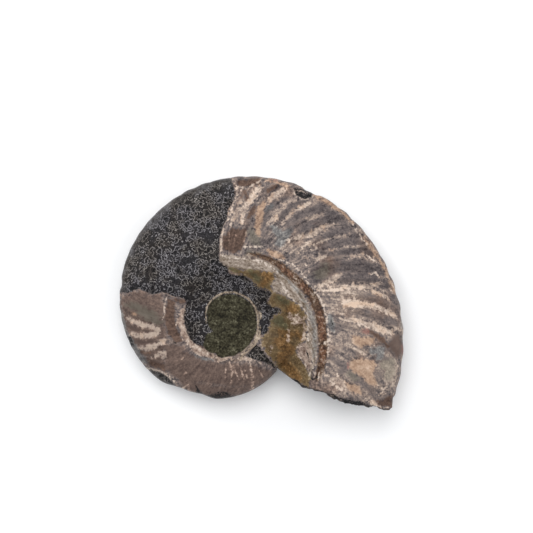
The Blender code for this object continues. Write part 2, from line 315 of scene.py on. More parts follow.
marks = {                               # outlines of areas, or strokes of (x, y, half width), in pixels
    "mould": {
        "areas": [
            [(112, 293), (122, 292.7), (128.3, 292.7), (138.9, 288.5), (144.5, 290.6), (151.5, 294.1),
             (162.7, 292), (174.6, 296.2), (183.8, 298.3), (186.6, 301.8), (185.9, 305.4), (184.5, 310.3),
             (183.8, 316.6), (184.6, 323.3), (186.6, 331), (190.4, 339.7), (195.3, 344.3), (203, 346.6),
             (230, 330), (262, 335.5), (267.7, 332.8), (269.5, 326.3), (271.4, 318.9), (275.4, 314.8),
             (280.2, 313.6), (281.4, 310.2), (278.6, 307.6), (273, 306.8), (268.6, 303.8), (267.2, 300.6),
             (269.4, 297.8), (271.4, 295), (270.8, 291.4), (266, 289.8), (261, 288.8), (257, 286.2),
             (253, 282), (243, 274.5), (235.7, 276), (229, 273.6), (227.4, 266), (219, 260), (219.2, 249),
             (220, 236), (223, 227), (227, 218), (228, 210), (233, 202), (235.4, 193), (234, 187),
             (231, 180), (229, 165), (90, 165), (90, 293)],
            [(247, 356), (251, 350), (255, 344.5), (259, 346.6), (264.5, 353.5), (273.5, 364), (283, 373),
             (269.4, 364.6), (259, 360.6), (251, 357.6)],
            [(141, 364), (151.5, 369.2), (159.9, 372), (166.9, 376.2), (173.2, 383.2), (178.2, 388.9),
             (182, 396), (160, 396), (136, 372)]],
        "strokes": [[(188.5, 329, 0.6), (186.8, 330.6, 1.2), (187.6, 334, 1.0)]]},
    "plug": {"areas": [
        [(207.5, 324.5), (206.8, 312.4), (209, 305), (213, 300.4), (219.6, 296.6), (228, 294.2),
         (235.6, 294.8), (242.6, 297.4), (249, 301.8), (253.8, 308), (256.2, 315.6), (256.8, 324.5),
         (256, 332.2), (252.8, 339.8), (248.3, 345.6), (242, 351.3), (234.3, 355.8), (228, 356.6),
         (222.2, 357.7), (217.4, 356.4), (215.6, 353.4), (210, 352.6), (205.6, 349.4), (203, 345.6),
         (203.7, 341), (205, 336), (208, 333.5), (213, 332), (211.4, 329)]]},
    "ring": {"strokes": [
        [(206.3, 324, 0.2), (205.6, 313, 0.5), (207.8, 305.5, 0.6), (212, 299.6, 0.7), (218, 295.2, 0.7),
         (226, 292.4, 0.9), (234, 292.2, 0.9), (241, 294.4, 0.9), (248.5, 299, 1.0), (254, 305.6, 1.0),
         (257.2, 313, 1.0), (258.2, 321, 0.9), (257.8, 330, 1.1), (256.4, 337, 1.0), (252.6, 343.6, 0.9),
         (246, 349, 0.7), (238.6, 354.6, 0.7)],
        [(256, 309, 0.4), (260.6, 314, 1.1), (260.8, 319, 0.4)],
        [(260.2, 326, 0.5), (259.6, 336, 1.0), (254.4, 345, 1.1), (248, 351, 1.0), (241.4, 356.6, 1.2),
         (240.4, 359.6, 0.8)]]},
    "crust": {
        "areas": [
            [(185.2, 305.4), (181, 310.3), (176.8, 318.7), (176.1, 324.3), (179.6, 329.9), (182.4, 338.3),
             (186.6, 342.5), (191.5, 348.2), (194.3, 352.4), (201.3, 355.8), (213.2, 358.4), (216, 354.4),
             (209.4, 352.6), (204.1, 348.6), (195.3, 344.6), (190, 339.7), (186.4, 331), (184.4, 322.9),
             (183.6, 316.6), (184.5, 310.3)]],
        "strokes": [[(216.5, 356, 1.4), (217.8, 360, 2.0), (222, 359.4, 1.6), (229, 358, 1.4)],
                    [(229, 358.6, 1.0), (236, 360.6, 1.0), (244, 358.6, 1.4), (250, 360, 0.8)]]},
    "band": {"areas": [
        [(219.6, 257.5), (220, 262), (228, 267), (238, 268.2), (243.7, 271), (253.8, 269.4),
         (266.8, 271.4), (275.6, 273.6), (274.6, 280), (271.4, 284.6), (273.6, 291.2), (283.4, 293),
         (290.6, 298.6), (298, 304), (303.7, 309.7), (307.2, 315.2), (307.2, 328), (306.4, 340),
         (303.6, 344.8), (308.2, 354), (311.8, 363), (307.4, 372.4), (311, 379), (314, 366), (316, 356),
         (317.4, 342), (317.4, 328), (314.6, 318.8), (311, 309.7), (305.4, 298.6), (298, 285.6),
         (288, 275.4), (279.6, 267.2), (270.4, 262.6), (259.3, 258.8), (245.4, 257.8), (233.4, 255.2),
         (221, 254.4)]]},
    "crest": {"strokes": [
        [(274, 274.4, 0.5), (282, 283, 0.6), (289, 296.8, 1.0), (296.4, 302.4, 1.2), (303.8, 308.8, 1.3),
         (307.6, 314.6, 1.1), (307.2, 324, 0.5), (307.8, 336, 0.7), (308.2, 342, 0.5)],
        [(222, 256.6, 0.7), (234, 258, 0.5), (248, 259.4, 0.7), (262, 261.4, 0.8), (271, 267, 0.8),
         (278, 273, 0.6)]]},
    "steel": {                            # blue-grey, most of it on the outer side of the ridge, where it is the skin's own colour; the area on the left plate and the stroke along the right rim are painted reflection of the sky
        "areas": [[(112, 296), (120, 297), (121, 308), (125, 320), (128, 332), (134, 342), (143, 354),
                   (150, 364), (140, 362), (124, 340), (112, 316)]],
        "strokes": [
        [(276, 268.5, 0.8), (285, 276.6, 1.4), (295, 287.5, 1.6), (303, 300, 1.6), (309.5, 312, 1.8),
         (313.2, 322, 2.2), (314.6, 334, 2.2), (314.8, 346, 2.0), (313.4, 357, 1.0)],
        [(330.4, 317, 2.4), (330.6, 324, 3.6), (333, 330, 2.0)],
        [(272, 227, 2.4), (280, 234, 4.4), (287, 238, 3.0), (279, 243, 4.0), (289, 231, 3.4)],
        [(195, 354.8, 0.8), (203, 358.2, 1.4), (212, 359.6, 0.9)],
        [(372, 352, 3.0), (381, 350, 4.0), (379, 358, 3.0)],
        [(266.4, 210, 1.4), (271, 206, 1.8)],
        [(388, 272, 2.0), (397, 288, 2.4), (402, 306, 2.6), (404, 326, 2.4)]]},
    "groove": {"strokes": [
        [(246, 253.4, 0.8), (256, 254.6, 1.6), (268, 258.6, 2.4), (279, 265, 3.6), (287, 272, 4.0),
         (296, 279.6, 4.4), (304.4, 287.2, 4.4), (310.8, 294.6, 4.6), (315.8, 303.4, 4.8),
         (319.4, 312.4, 4.6), (321.4, 323.6, 4.6), (322.8, 337.4, 4.7), (323.4, 350, 4.6),
         (322.2, 362, 4.2), (319.4, 372, 3.4), (317, 379, 2.0)]]},
    "rust": {"strokes": [                 # the reddest parts of the groove
        [(281, 266, 1.6), (286, 271, 2.0), (292, 276, 1.2)], [(302, 285, 2.0), (308, 292, 1.4)],
        [(319.4, 313, 2.4), (321.4, 325, 3.0), (322.6, 338, 2.6)], [(322.4, 350, 3.6), (322.6, 361, 2.8)],
        [(311.6, 357.4, 1.0), (312.4, 356, 0.8)]]},
    "amber": {"areas": [
        [(243.7, 271), (253.8, 269.6), (266.8, 271.6), (275, 273.4), (274.4, 279), (270.8, 284),
         (272.4, 291.4), (270.8, 291.4), (266, 289.8), (261, 288.8), (257, 286.2), (253, 281),
         (246, 276.4), (238, 274.4), (231, 271.4), (227.4, 266.6), (234, 267.2), (239, 269.4)],
        [(273, 306.8), (268.6, 303.8), (267.2, 300.6), (269.4, 297.8), (271.4, 295), (274.2, 293.1),
         (281.5, 294.8), (289.6, 299.4), (297, 304.4), (302.8, 309.7), (306.4, 316), (306.6, 328.2),
         (305.2, 341), (299.2, 345.6), (296.4, 350.4), (298.3, 356), (304.7, 364), (308, 371),
         (310.2, 380.9), (309, 388), (296, 382), (283.4, 373), (276, 365.4), (267.7, 354.4), (263.6, 347),
         (261.6, 336.8), (267.7, 332.8), (269.5, 326.3), (271.4, 318.9), (275.4, 314.8), (280.2, 313.6),
         (281.4, 310.2), (278.6, 307.6)]]},
    "honey": {"strokes": [                # the deepest orange-brown parts of the calcite
        [(264, 274, 2.6), (270, 276.4, 3.4), (266, 281, 3.0), (262, 285, 1.8)],
        [(289, 306, 3.4), (295, 309, 3.6), (288, 311, 2.6)],
        [(282, 331, 4.5), (290, 335, 4.0), (279, 342, 5.0), (290, 350, 5.0), (281, 358, 4.6),
         (291, 371, 4.5), (298, 378, 3.0)],
        [(297, 334, 3.4), (302, 338, 2.2)]]},
    "olive": {"strokes": [
        [(278, 298, 2.0), (286, 302, 3.4)], [(273, 321, 2.0), (280, 322, 4.6), (285, 327, 3.0)],
        [(250, 271.6, 1.2), (254, 275, 2.2), (258, 280, 1.6)], [(229, 268, 0.8), (237, 271.4, 1.2)],
        [(251, 232, 4.0), (255, 241, 5.0), (260, 245, 2.6)],
        [(126, 305, 2.0), (136, 307, 4.0), (148, 314, 6.0), (158, 322, 4.0)],
        [(309.1, 370, 0.7), (309.1, 374, 1.0)], [(325, 268, 5.0), (318, 275, 5.0)],
        [(384, 366, 4.0), (391, 362, 3.0), (388, 376, 4.0)], [(355, 378, 3.4), (350, 373, 2.4)],
        [(248, 253, 3.0), (258, 254, 2.4)]]},
    "lump": {"areas": [                   # pinkish lumps at the calcite's outer edge
        [(303.6, 341.8), (298.4, 345.4), (296.2, 350.6), (298.3, 356.4), (304.7, 364.4), (308, 372),
         (311.8, 366), (311.4, 356), (308.8, 347)]],
        "strokes": [[(288, 313.6, 1.2), (292, 318.6, 2.6), (298, 317, 2.0), (301.6, 322, 1.8),
                     (294, 324, 1.4)],
                    [(304, 318, 0.8), (304.6, 330, 1.0), (304, 340, 0.8)],
                    [(289, 330, 0.4), (288, 341, 0.5)],
                    [(271, 347, 0.6), (270, 351, 0.5)]]},
    "brown": {
        "areas": [
            [(226, 234.6), (231.9, 227.2), (240, 228.7), (246.5, 228), (247.3, 236), (244.3, 243.4),
             (240.7, 250), (234.1, 252.9), (226.7, 251.4), (222.8, 249.2), (221.8, 243.4), (222, 236)],
            [(167.6, 298.3), (175.3, 300.4), (174.6, 308), (175.3, 324.3), (180.2, 334), (182.4, 341),
             (176, 343), (168.3, 334.1), (164.1, 318.7), (166, 306)],
            [(236.6, 180.4), (259.5, 178), (261, 184.6), (247, 186.6), (238, 185.6)],
            [(134, 346), (140, 356), (150, 359), (164, 364), (166, 372), (150, 366), (138, 354)],
            [(374, 401), (382, 400), (390.5, 394.6), (394, 398), (391, 406.6), (378, 406)]],
        "strokes": [
            [(244.3, 191.4, 1.6), (247.6, 199, 2.4)], [(254.4, 206, 1.4), (252, 212, 2.8), (248, 218, 1.6)],
            [(277, 185.6, 1.6), (267.8, 190.6, 2.2)], [(242, 196, 1.2), (237, 206, 1.4), (234, 218, 1.0)],
            [(370, 331.2, 1.8), (379, 337, 2.4), (388, 346, 2.0)], [(140, 352, 2.6), (150, 353, 2.4)],
            [(176, 300, 2.4), (184, 301.6, 2.2)]]},
    "pale": {
        "areas": [
            [(313.7, 286.5), (330, 281), (345, 283), (363, 286), (366, 294), (363, 302), (352, 310),
             (345.5, 312.6), (334, 314.5), (325, 313.5), (321, 307), (316, 296)],
            [(327.5, 329), (333, 334), (342, 336), (350, 332), (353, 338), (350, 349), (340, 353),
             (329, 352)],
            [(376, 366), (390, 360), (398, 358), (396, 376), (390, 394), (380, 390), (377, 378)],
            [(322.5, 376), (332, 374), (341, 379), (346, 388), (348, 396), (336, 393), (326, 388)],
            [(234, 186), (262, 188), (262, 196), (248, 206), (242, 222), (234, 226), (226, 224),
             (230, 210)],
            [(282, 240), (300, 236), (310, 244), (304, 254), (288, 254), (279, 248)],
            [(146, 299), (156, 297.6), (163.4, 300), (162.6, 307), (152, 305)],
            [(220, 260), (229, 266), (243, 271), (246, 276), (236, 276.5), (229, 274), (227, 266)]],
        "strokes": [
            # the first three strokes and the last run along the outer rim: painted highlight where the
            # rounded venter catches the light
            [(124, 297, 1.4), (121.8, 307, 1.6), (123.6, 320, 1.4), (128, 334, 1.0)],
            [(345, 215, 1.0), (360, 229, 1.2), (374, 248, 1.4), (385, 268, 1.4)],
            [(384, 266, 1.6), (392, 283, 2.0), (398.5, 300, 2.0), (402.4, 318, 2.0), (403.6, 336, 1.4)],
            [(129, 317.6, 2.0), (144.5, 325.6, 3.4), (158, 331, 3.0)],
            [(132, 333.6, 2.0), (148, 335.6, 3.2), (158, 333.6, 2.6)],
            [(141, 347, 2.0), (150, 347.4, 3.2), (163, 341.4, 2.4)], [(153, 357, 1.4), (163.6, 354, 3.0)],
            [(262, 179, 1.4), (275, 181, 2.0), (288, 186, 1.6)]]},
    "cream": {"strokes": [
        [(236, 188, 1.8), (237.6, 196, 1.6)],
        [(234.6, 198, 0.9), (229.4, 211, 1.1), (224, 225, 1.0), (221.4, 236, 1.1), (220.6, 248, 1.0),
         (221.4, 258, 1.0)],
        [(259.6, 189, 2.6), (254, 196, 3.2), (248.2, 204, 2.6), (243.6, 214, 2.4), (241.6, 223, 1.6)],
        [(240.4, 200, 1.2), (235, 213, 1.4), (231, 225, 1.0)],
        [(282.5, 190.6, 2.6), (274, 195, 2.6), (267.4, 203, 1.6)],
        [(294.2, 199.2, 2.2), (285.8, 203.6, 2.4), (279, 210, 1.6), (274.6, 218, 2.8), (269, 223.4, 1.8)],
        [(309.6, 203.6, 0.9), (303, 206, 1.8), (294.2, 211, 1.2), (286, 219, 1.6), (281, 226, 1.2)],
        [(323.8, 213.6, 1.0), (316, 215.4, 2.2), (307.4, 219.8, 1.2)],
        [(339, 223.6, 1.0), (330, 225, 2.0), (320.7, 228.6, 3.2), (312.6, 234, 3.0), (300, 237, 2.4),
         (288, 240.6, 1.6)],
        [(306, 257.4, 1.4), (311, 253.4, 2.2), (317, 248, 1.2)],
        [(314, 261.4, 1.4), (319, 257.6, 2.8), (325, 255.8, 1.8)],
        [(300, 252, 0.8), (303, 246, 1.2), (311, 242, 0.9)],
        [(313, 244.4, 0.8), (322, 241.6, 1.0), (330.3, 238.7, 1.3), (336.6, 237, 1.5), (345, 235.8, 0.6),
         (352, 234.8, 1.0)],
        [(328, 250.8, 0.9), (334, 249.4, 0.5), (340, 248.4, 1.2), (348.6, 246.2, 1.1), (352, 246.4, 0.5),
         (357.7, 247, 0.9)],
        [(348.6, 259.1, 1.0), (353, 256.2, 1.6), (363, 253.9, 1.3)],
        [(366, 256, 0.8), (372, 258.6, 1.2)],
        [(314.4, 287, 1.0), (325, 283.4, 2.2), (332, 279.6, 3.2), (337, 277, 2.6), (341.7, 275.2, 1.2)],
        [(316, 289.6, 1.2), (332, 290.4, 1.4), (345, 287.4, 1.8), (357, 286.8, 2.8), (368, 287.4, 3.2),
         (376, 286, 2.4), (381, 283.4, 1.2)],
        [(372, 290, 2.2), (381, 293.6, 2.2), (387, 297.6, 1.6), (390, 300.6, 0.8)],
        [(344, 302.4, 2.2), (354, 303.4, 4.0), (364, 304.4, 3.4), (375, 306.8, 2.8), (385, 310.4, 2.6),
         (394, 314.6, 1.6), (398, 318, 0.9)],
        [(341, 319, 1.4), (350, 319.6, 2.6), (360, 321.6, 3.0), (372, 325.4, 3.2), (382, 329.6, 4.0),
         (391, 331.4, 3.0), (396, 329, 1.2)],
        [(350, 300, 1.4), (353, 297, 1.0)],
        [(370, 274.4, 0.7), (374, 271.6, 0.9), (376, 274.6, 1.0), (380, 276.8, 0.8)],
        [(126.9, 316.6, 1.2), (133.2, 321.4, 2.4), (144.5, 325.6, 2.8), (151.5, 326, 3.0),
         (158.6, 331, 2.6)],
        [(131.1, 333.4, 1.4), (138.2, 335.6, 2.6), (148.7, 335.6, 2.9), (158.5, 333.6, 2.6)],
        [(139.6, 346.8, 1.4), (146, 348.4, 2.9), (154.3, 346, 2.6), (164.1, 341, 2.2)],
        [(151.4, 357, 0.9), (157.8, 355.4, 1.8), (164, 352, 2.6), (163.6, 358.2, 2.0)],
        [(326.6, 374, 0.5), (332, 383, 1.2), (341, 390, 0.9)],
        [(366, 400, 0.6), (374, 402, 1.4), (380, 408, 1.0)],
        [(354, 349, 0.8), (364, 352, 1.2), (372, 357, 0.8)],
        [(380, 394, 1.2), (385, 389, 1.6)]]},
    "light": {"areas": [                  # the plate's paler part
        [(318, 284), (345, 283), (384, 288), (400, 302), (405, 345), (403, 380), (394, 406), (350, 398),
         (324, 380), (329, 345), (324, 312)]]},
    "smooth": {"areas": [                 # shell that has kept its plain skin
        [(398.2, 334), (403.6, 342), (402, 354), (397, 358), (390.5, 352), (387, 345), (389.4, 340)],
        [(165, 343), (180, 345), (192, 355), (214, 362), (240, 363), (262, 366), (276, 372), (266, 384),
         (240, 388), (200, 384), (182, 384), (166, 370), (160, 356)],
        [(116, 300), (126, 294), (163, 296), (167, 345), (165, 371), (150, 366), (136, 352), (124, 330)],
        [(130, 292), (140, 290), (152, 295), (163, 294), (163, 297), (146, 297), (130, 300)],
        [(182, 380), (210, 384), (240, 386), (262, 380), (250, 394), (224, 398), (200, 396), (186, 390)]]},
    "edge": {"strokes": [                 # thin light lines at cracks and outside the groove; the last one, along the outer rim, is painted highlight
        [(166.9, 296.9, 0.7), (165.2, 303.2, 0.7), (164.1, 308.2, 0.8), (164.8, 313, 0.5),
         (162.6, 319, 0.3)],
        [(279, 259.6, 0.5), (290.8, 263, 0.8), (298, 269.4, 0.7), (305, 277, 0.9), (309, 284, 0.6),
         (313, 288, 0.9), (318.4, 296.6, 0.9), (323.6, 307.4, 0.8), (326.8, 318, 0.8), (327.8, 330, 0.7),
         (328.4, 344, 0.9), (328, 356, 0.8), (326, 368, 0.7)],
        [(237, 186.4, 0.5), (247, 188, 0.6), (253, 184.8, 0.7), (262, 180.4, 0.6)],
        [(293.6, 190, 0.5), (295.6, 195.8, 0.7), (303.4, 199.8, 0.6), (313, 196.6, 0.7)],
        [(244, 247, 0.8), (254, 246.6, 0.9), (264, 247, 0.7)],
        [(143, 366.4, 0.5), (152, 369.6, 0.7), (160.4, 371.4, 0.8), (168, 376, 0.7), (174, 382, 0.6)],
        [(371, 404.6, 0.6), (380, 407.4, 0.8), (389, 407.4, 0.7)],
        [(308.8, 376, 0.4), (311.4, 369.6, 0.5), (315.6, 366, 0.4)], [(319, 372, 0.4), (318.6, 380, 0.4)],
        [(314, 377, 0.6), (315.6, 372.6, 0.8)], [(319, 343.6, 1.0), (326.6, 342.8, 0.9)],
        [(297.4, 350, 0.4), (301, 345.8, 0.5), (305, 347.6, 0.4)],
        [(297, 352, 0.5), (301, 359, 0.5), (306.4, 366, 0.6)],
        [(352.8, 225, 0.6), (358, 232, 0.8), (363, 239.6, 0.6), (367.3, 245, 0.8)],
        [(367, 255, 0.7), (373.5, 259.4, 0.9), (376.6, 263.6, 0.5)],
        [(371, 274.6, 0.6), (375.6, 272.5, 0.9), (379, 277, 0.6)],
        [(391, 282, 0.5), (397, 293, 0.7), (401, 305, 0.5), (403, 318, 0.6), (404, 332, 0.4)]]},
    "peach": {
        "areas": [
            [(352, 336), (362, 337), (375, 338), (373, 343.4), (361, 348), (353.3, 343.2)],
            [(350.5, 360), (363, 358.8), (374.4, 360.7), (376.5, 365), (373, 374.7), (375.8, 379.6),
             (377.2, 385.3), (369.5, 384.6), (363.2, 378.2), (353.3, 371.9), (349.1, 367.7)],
            [(344.9, 382), (353, 384), (359.4, 386), (361.4, 394.4), (353.3, 393), (347.7, 388.8)]],
        "strokes": [
            [(264, 203, 1.8), (259.6, 210, 3.6), (259.4, 217, 4.0), (257.4, 226, 3.0), (258.6, 234, 2.0)],
            [(269, 250.6, 1.8), (274, 254, 3.2), (280, 256.4, 2.8), (284, 257.6, 1.4)],
            [(344, 306, 1.4), (352, 304, 2.4), (362, 303, 1.8), (372, 305.6, 1.6)],
            [(372, 291, 1.2), (381, 294.6, 1.6)], [(219, 357, 1.0), (218, 361, 1.2)],
            [(314, 195, 1.0), (328, 202, 1.8), (342, 212, 1.8), (353, 222, 1.4)],
            [(362, 236, 0.8), (372, 249, 1.5), (381, 262, 1.5), (389, 277, 1.8), (395, 292, 1.2)],
            [(266, 180.6, 1.0), (276, 181.6, 1.6), (288, 186.4, 0.9)],
            [(387, 262, 0.9), (393, 276, 1.2), (396.6, 288, 0.9)],
            [(133.4, 313.6, 1.8), (135, 314, 1.4)], [(226, 200, 0.3), (230.6, 203, 1.2), (226, 214, 1.0)]]},
    "rose": {"strokes": [[(364, 331, 1.6), (367.6, 331.6, 2.0)], [(402.6, 344, 0.8), (403.4, 351, 1.4)],
                         [(270, 180.4, 0.8), (277, 181, 1.2)], [(348.6, 361, 0.5), (348, 368, 0.8)]]},
    "dark": {
        "areas": [
            [(307.6, 268.4), (322.8, 263), (336.4, 258.4), (348.6, 261.4), (363, 259.9), (372.8, 264.5),
             (379.7, 270.5), (381, 278.1), (379.5, 280.6), (372.8, 281.5), (360.7, 280.8), (348.6, 281.5),
             (340, 284.6), (343.5, 276.3), (335, 273), (327.6, 278.4), (315.2, 284.4), (310, 279)],
            [(359.2, 293.8), (366.8, 293), (375.9, 295.9), (387.2, 301), (394.8, 305.4), (399.4, 309.6),
             (398.9, 315.3), (393.3, 312.4), (383.5, 306.7), (372.8, 302.4), (366.8, 300.1),
             (360.7, 297.8)],
            [(345.5, 314.9), (357.7, 310.9), (366.8, 309.4), (374.4, 313.2), (383.5, 315.6),
             (394.8, 319.6), (398.9, 322.7), (398.6, 327.3), (387.2, 323.2), (375.9, 319.4),
             (366.8, 316.8), (356.9, 315.6)],
            [(398.2, 333.3), (403.2, 341), (401.8, 353), (396.8, 357.5), (390.5, 351.9), (387, 345),
             (389.1, 340.4)],
            [(382.5, 282.7), (386.7, 279.6), (393.3, 284.2), (397.9, 293.3), (400.8, 305.4), (402.7, 316),
             (398.9, 312), (392, 301.6), (390.5, 296.4), (387.7, 290.6)],
            [(316, 245), (320, 241.7), (328.8, 242), (340, 239.8), (353, 238), (366, 245), (356, 244),
             (342.5, 244.4), (332, 247.6), (320, 248.6)]],
        "strokes": [
            [(318, 239.4, 1.6), (327, 234.6, 2.4), (337, 230.4, 3.0), (347, 230.6, 3.6), (357, 237, 3.0)],
            [(322, 253.4, 1.6), (334, 254, 2.6), (346, 251.6, 2.6), (362, 249.8, 2.6), (371, 254, 2.4)],
            [(274.4, 201.6, 1.6), (267.6, 210.6, 2.2), (263.8, 220.4, 2.2), (262.8, 232, 1.6)],
            [(301.6, 201.6, 1.2), (292.8, 206.4, 1.9), (284, 213.6, 1.9), (280.6, 218.6, 1.0)],
            [(326, 204.8, 2.4), (310.4, 211, 2.6), (297, 217, 3.0), (289, 224, 3.4), (290, 232, 2.6)],
            [(336, 215.6, 3.2), (322, 220.4, 3.0), (309, 225, 3.2), (299.4, 230.6, 2.6)],
            [(318, 208, 3.0), (330, 214, 3.0), (344, 224, 2.6)], [(292, 197, 1.4), (284, 199.8, 1.6)],
            [(368, 268, 3.0), (384, 274, 2.0)], [(132, 329, 1.4), (142, 331.6, 1.7), (149, 331.2, 0.9)],
            [(133.6, 341.4, 1.6), (142, 342, 2.2), (152, 341, 1.4)], [(159, 338.6, 0.8), (162, 337.6, 0.8)],
            [(330, 356, 2.0), (337, 362, 3.0), (345, 366, 2.6), (340, 371, 2.6)],
            [(350, 373, 1.2), (357, 379.6, 2.4), (366, 384.8, 2.2), (371.4, 390.4, 1.8), (375, 397, 1.2)],
            [(335, 348, 1.4), (345, 350.6, 1.4), (356, 351, 1.2), (366, 347, 1.0)],
            [(369, 362, 0.6), (378, 356, 2.2), (386, 359.6, 2.4), (392, 364.6, 1.8)],
            [(324, 377, 1.6), (328.6, 378.6, 2.2)], [(377, 372, 1.6), (381, 376, 1.8)],
            [(334, 324, 1.2), (341, 328, 1.6), (346, 326, 1.2)]]},
    "black": {
        "areas": [
            [(293.6, 187.6), (301.6, 188.6), (311.8, 193.6), (311, 197.6), (303.8, 198.4), (296.4, 195)],
            [(126, 336.4), (131.1, 337.6), (133.4, 345.6), (129.4, 345.3)]],
        "strokes": [
            # the first three strokes are painted shade along the lower edges: under the broken face and
            # along the bottom of the rim
            [(297, 383, 0.6), (307, 388, 1.2), (318, 392.4, 2.2), (328, 396, 2.8), (334, 397, 2.0),
             (339, 400, 2.4), (348, 402.6, 2.8), (360, 404, 2.8), (369, 407.4, 2.2), (374, 409, 1.0)],
            [(195.4, 385, 0.3), (197, 389, 1.6), (199.4, 394, 2.6), (204, 396, 1.4)],
            [(206, 397, 1.0), (213, 397, 3.0), (219, 396.4, 4.6), (225, 397, 5.0), (231, 398, 3.4),
             (236, 399, 1.0)],
            [(331, 320, 0.8), (331.6, 325, 1.0)], [(174, 342.4, 0.8), (175.4, 343.2, 0.8)],
            [(311.4, 375.4, 0.3), (313, 380, 0.8), (316.2, 378, 0.6), (317, 373, 0.2)],
            [(246, 355, 0.6), (252, 349.6, 0.5), (257, 345, 0.3)], [(222, 357.2, 0.5), (219, 356, 0.6)],
            [(304, 347, 0.3), (307.4, 353, 0.4), (309.2, 362, 0.4)]]},
    "white": {"strokes": [
        # the first stroke is a painted glint across the black chip; the others are white streaks and flecks
        [(297, 190.4, 0.5), (301.6, 191, 0.9), (306.4, 193.6, 0.6)],
        [(229.6, 233, 0.6), (229, 243, 0.7)], [(235.5, 235.3, 0.8), (233.9, 241.9, 0.6)],
        [(246.2, 232.4, 0.8), (244, 242, 0.8)], [(229.4, 361.7, 0.5), (232.4, 372, 0.9), (230.4, 384, 0.8)],
        [(233.5, 366, 0.5), (236.6, 374, 0.8), (239, 380, 0.4)],
        [(237.6, 362, 0.3), (241, 370, 0.7), (244, 379, 0.8)],
        [(249.6, 362, 0.4), (252, 372, 1.2), (252.4, 387, 1.5), (251, 391, 0.9)],
        [(244, 367, 0.4), (247.4, 378, 0.7)],
        [(258.4, 369, 0.6), (261, 374, 0.8), (263, 377, 0.4)], [(226, 368, 0.4), (225.4, 378, 0.7)],
        [(181.6, 359.4, 0.8), (183.4, 357.8, 0.7)],
        [(184, 374, 0.9), (186.6, 372.4, 0.7)], [(172, 380, 0.9), (175, 380.6, 0.6)],
        [(190.6, 350, 0.5), (191.6, 349, 0.5)],
        [(305.4, 264, 0.9), (306.6, 265.4, 0.8)], [(309, 268, 0.8), (309.2, 272, 0.9)],
        [(389.6, 288.6, 0.7), (392, 293, 0.8)],
        [(181.6, 389, 0.6), (188, 385.8, 1.4), (189.4, 390.6, 1.2)], [(243, 352.6, 0.3), (243.2, 353, 0.3)],
        [(233.4, 346.6, 0.7), (233.6, 346.8, 0.7)], [(229, 350, 0.5), (229.4, 350.2, 0.5)],
        [(271.4, 319.8, 0.7), (271.8, 320, 0.7)],
        [(240, 192, 0.8), (241, 189.6, 0.7)], [(336, 371, 0.6), (338, 376, 0.8)],
        [(324, 365, 0.6), (324.6, 361, 0.7)]]},
}


def markDepth(name, spots):
    x, y = spots[:, 0], spots[:, 1]
    depth = np.full(len(x), -12.0)
    for outline in marks[name].get("areas", []):
        depth = np.maximum(depth, areaDepth(x, y, outline))
    for path in marks[name].get("strokes", []):
        depth = np.maximum(depth, strokeDepth(x, y, path))
    return np.clip(depth, -12, 12)


relief = {                              # millimetres
    "ledge": 0.32,                      # the shell stands this much above the bare mould
    "ledgeRun": 1.3,                    # pixels over which it falls
    "ledgeFoot": 1.4,                   # millimetres over which it grows from the edge of the hollow
    "ribLoss": 0.65,                    # the share of the ribs that the mould lacks
    "ridge": 0.4,
    "ridgeWidth": 0.7,
    "peel": 0.07,                       # cream and peach streaks, where the outer layer has come away
    "peelRun": 1.2,
    "steps": {                          # rise, and over how many pixels and from what share of it
        "groove": (-0.62, 3.4, 0.25),
        "crest": (0.12, 1.6, 0.6),
        "lump": (0.10, 2.0, 0.3),
        "ring": (0.34, 1.8, 0.6),
        "crust": (0.22, 3.0, 0.4),
        "black": (-0.22, 1.6, 0.4),
    },
    "crushStart": 268.0,
    "crushEnd": 300.0,
    "swell": 0.07,
    "swellSize": 3.4,
    "grit": 0.035,
    "gritSize": 0.75,
    "calcite": 0.16,
    "calciteSize": 2.6,
    "calciteRun": 3,
    "wallBulge": 0.25,
    "wallRough": 0.7,
    "wallSize": 3.0,
    "wallRun": 1.2,                     # millimetres over which the broken face bulges from its edge
    "brow": 4.5,                        # how far painted shade reaches down the broken face from the upper flank
    "browShadeEdge": (1.2, 2.4),             # how ragged its edge is, and in bends of what size
}


def roughness(x, y, side):              # the unevenness of worn stone
    points = np.stack([x, y, np.full(len(x), side)], 1)
    swell = relief["swell"] * fractal(points, relief["swellSize"])
    return swell + relief["grit"] * fractal(points, relief["gritSize"])


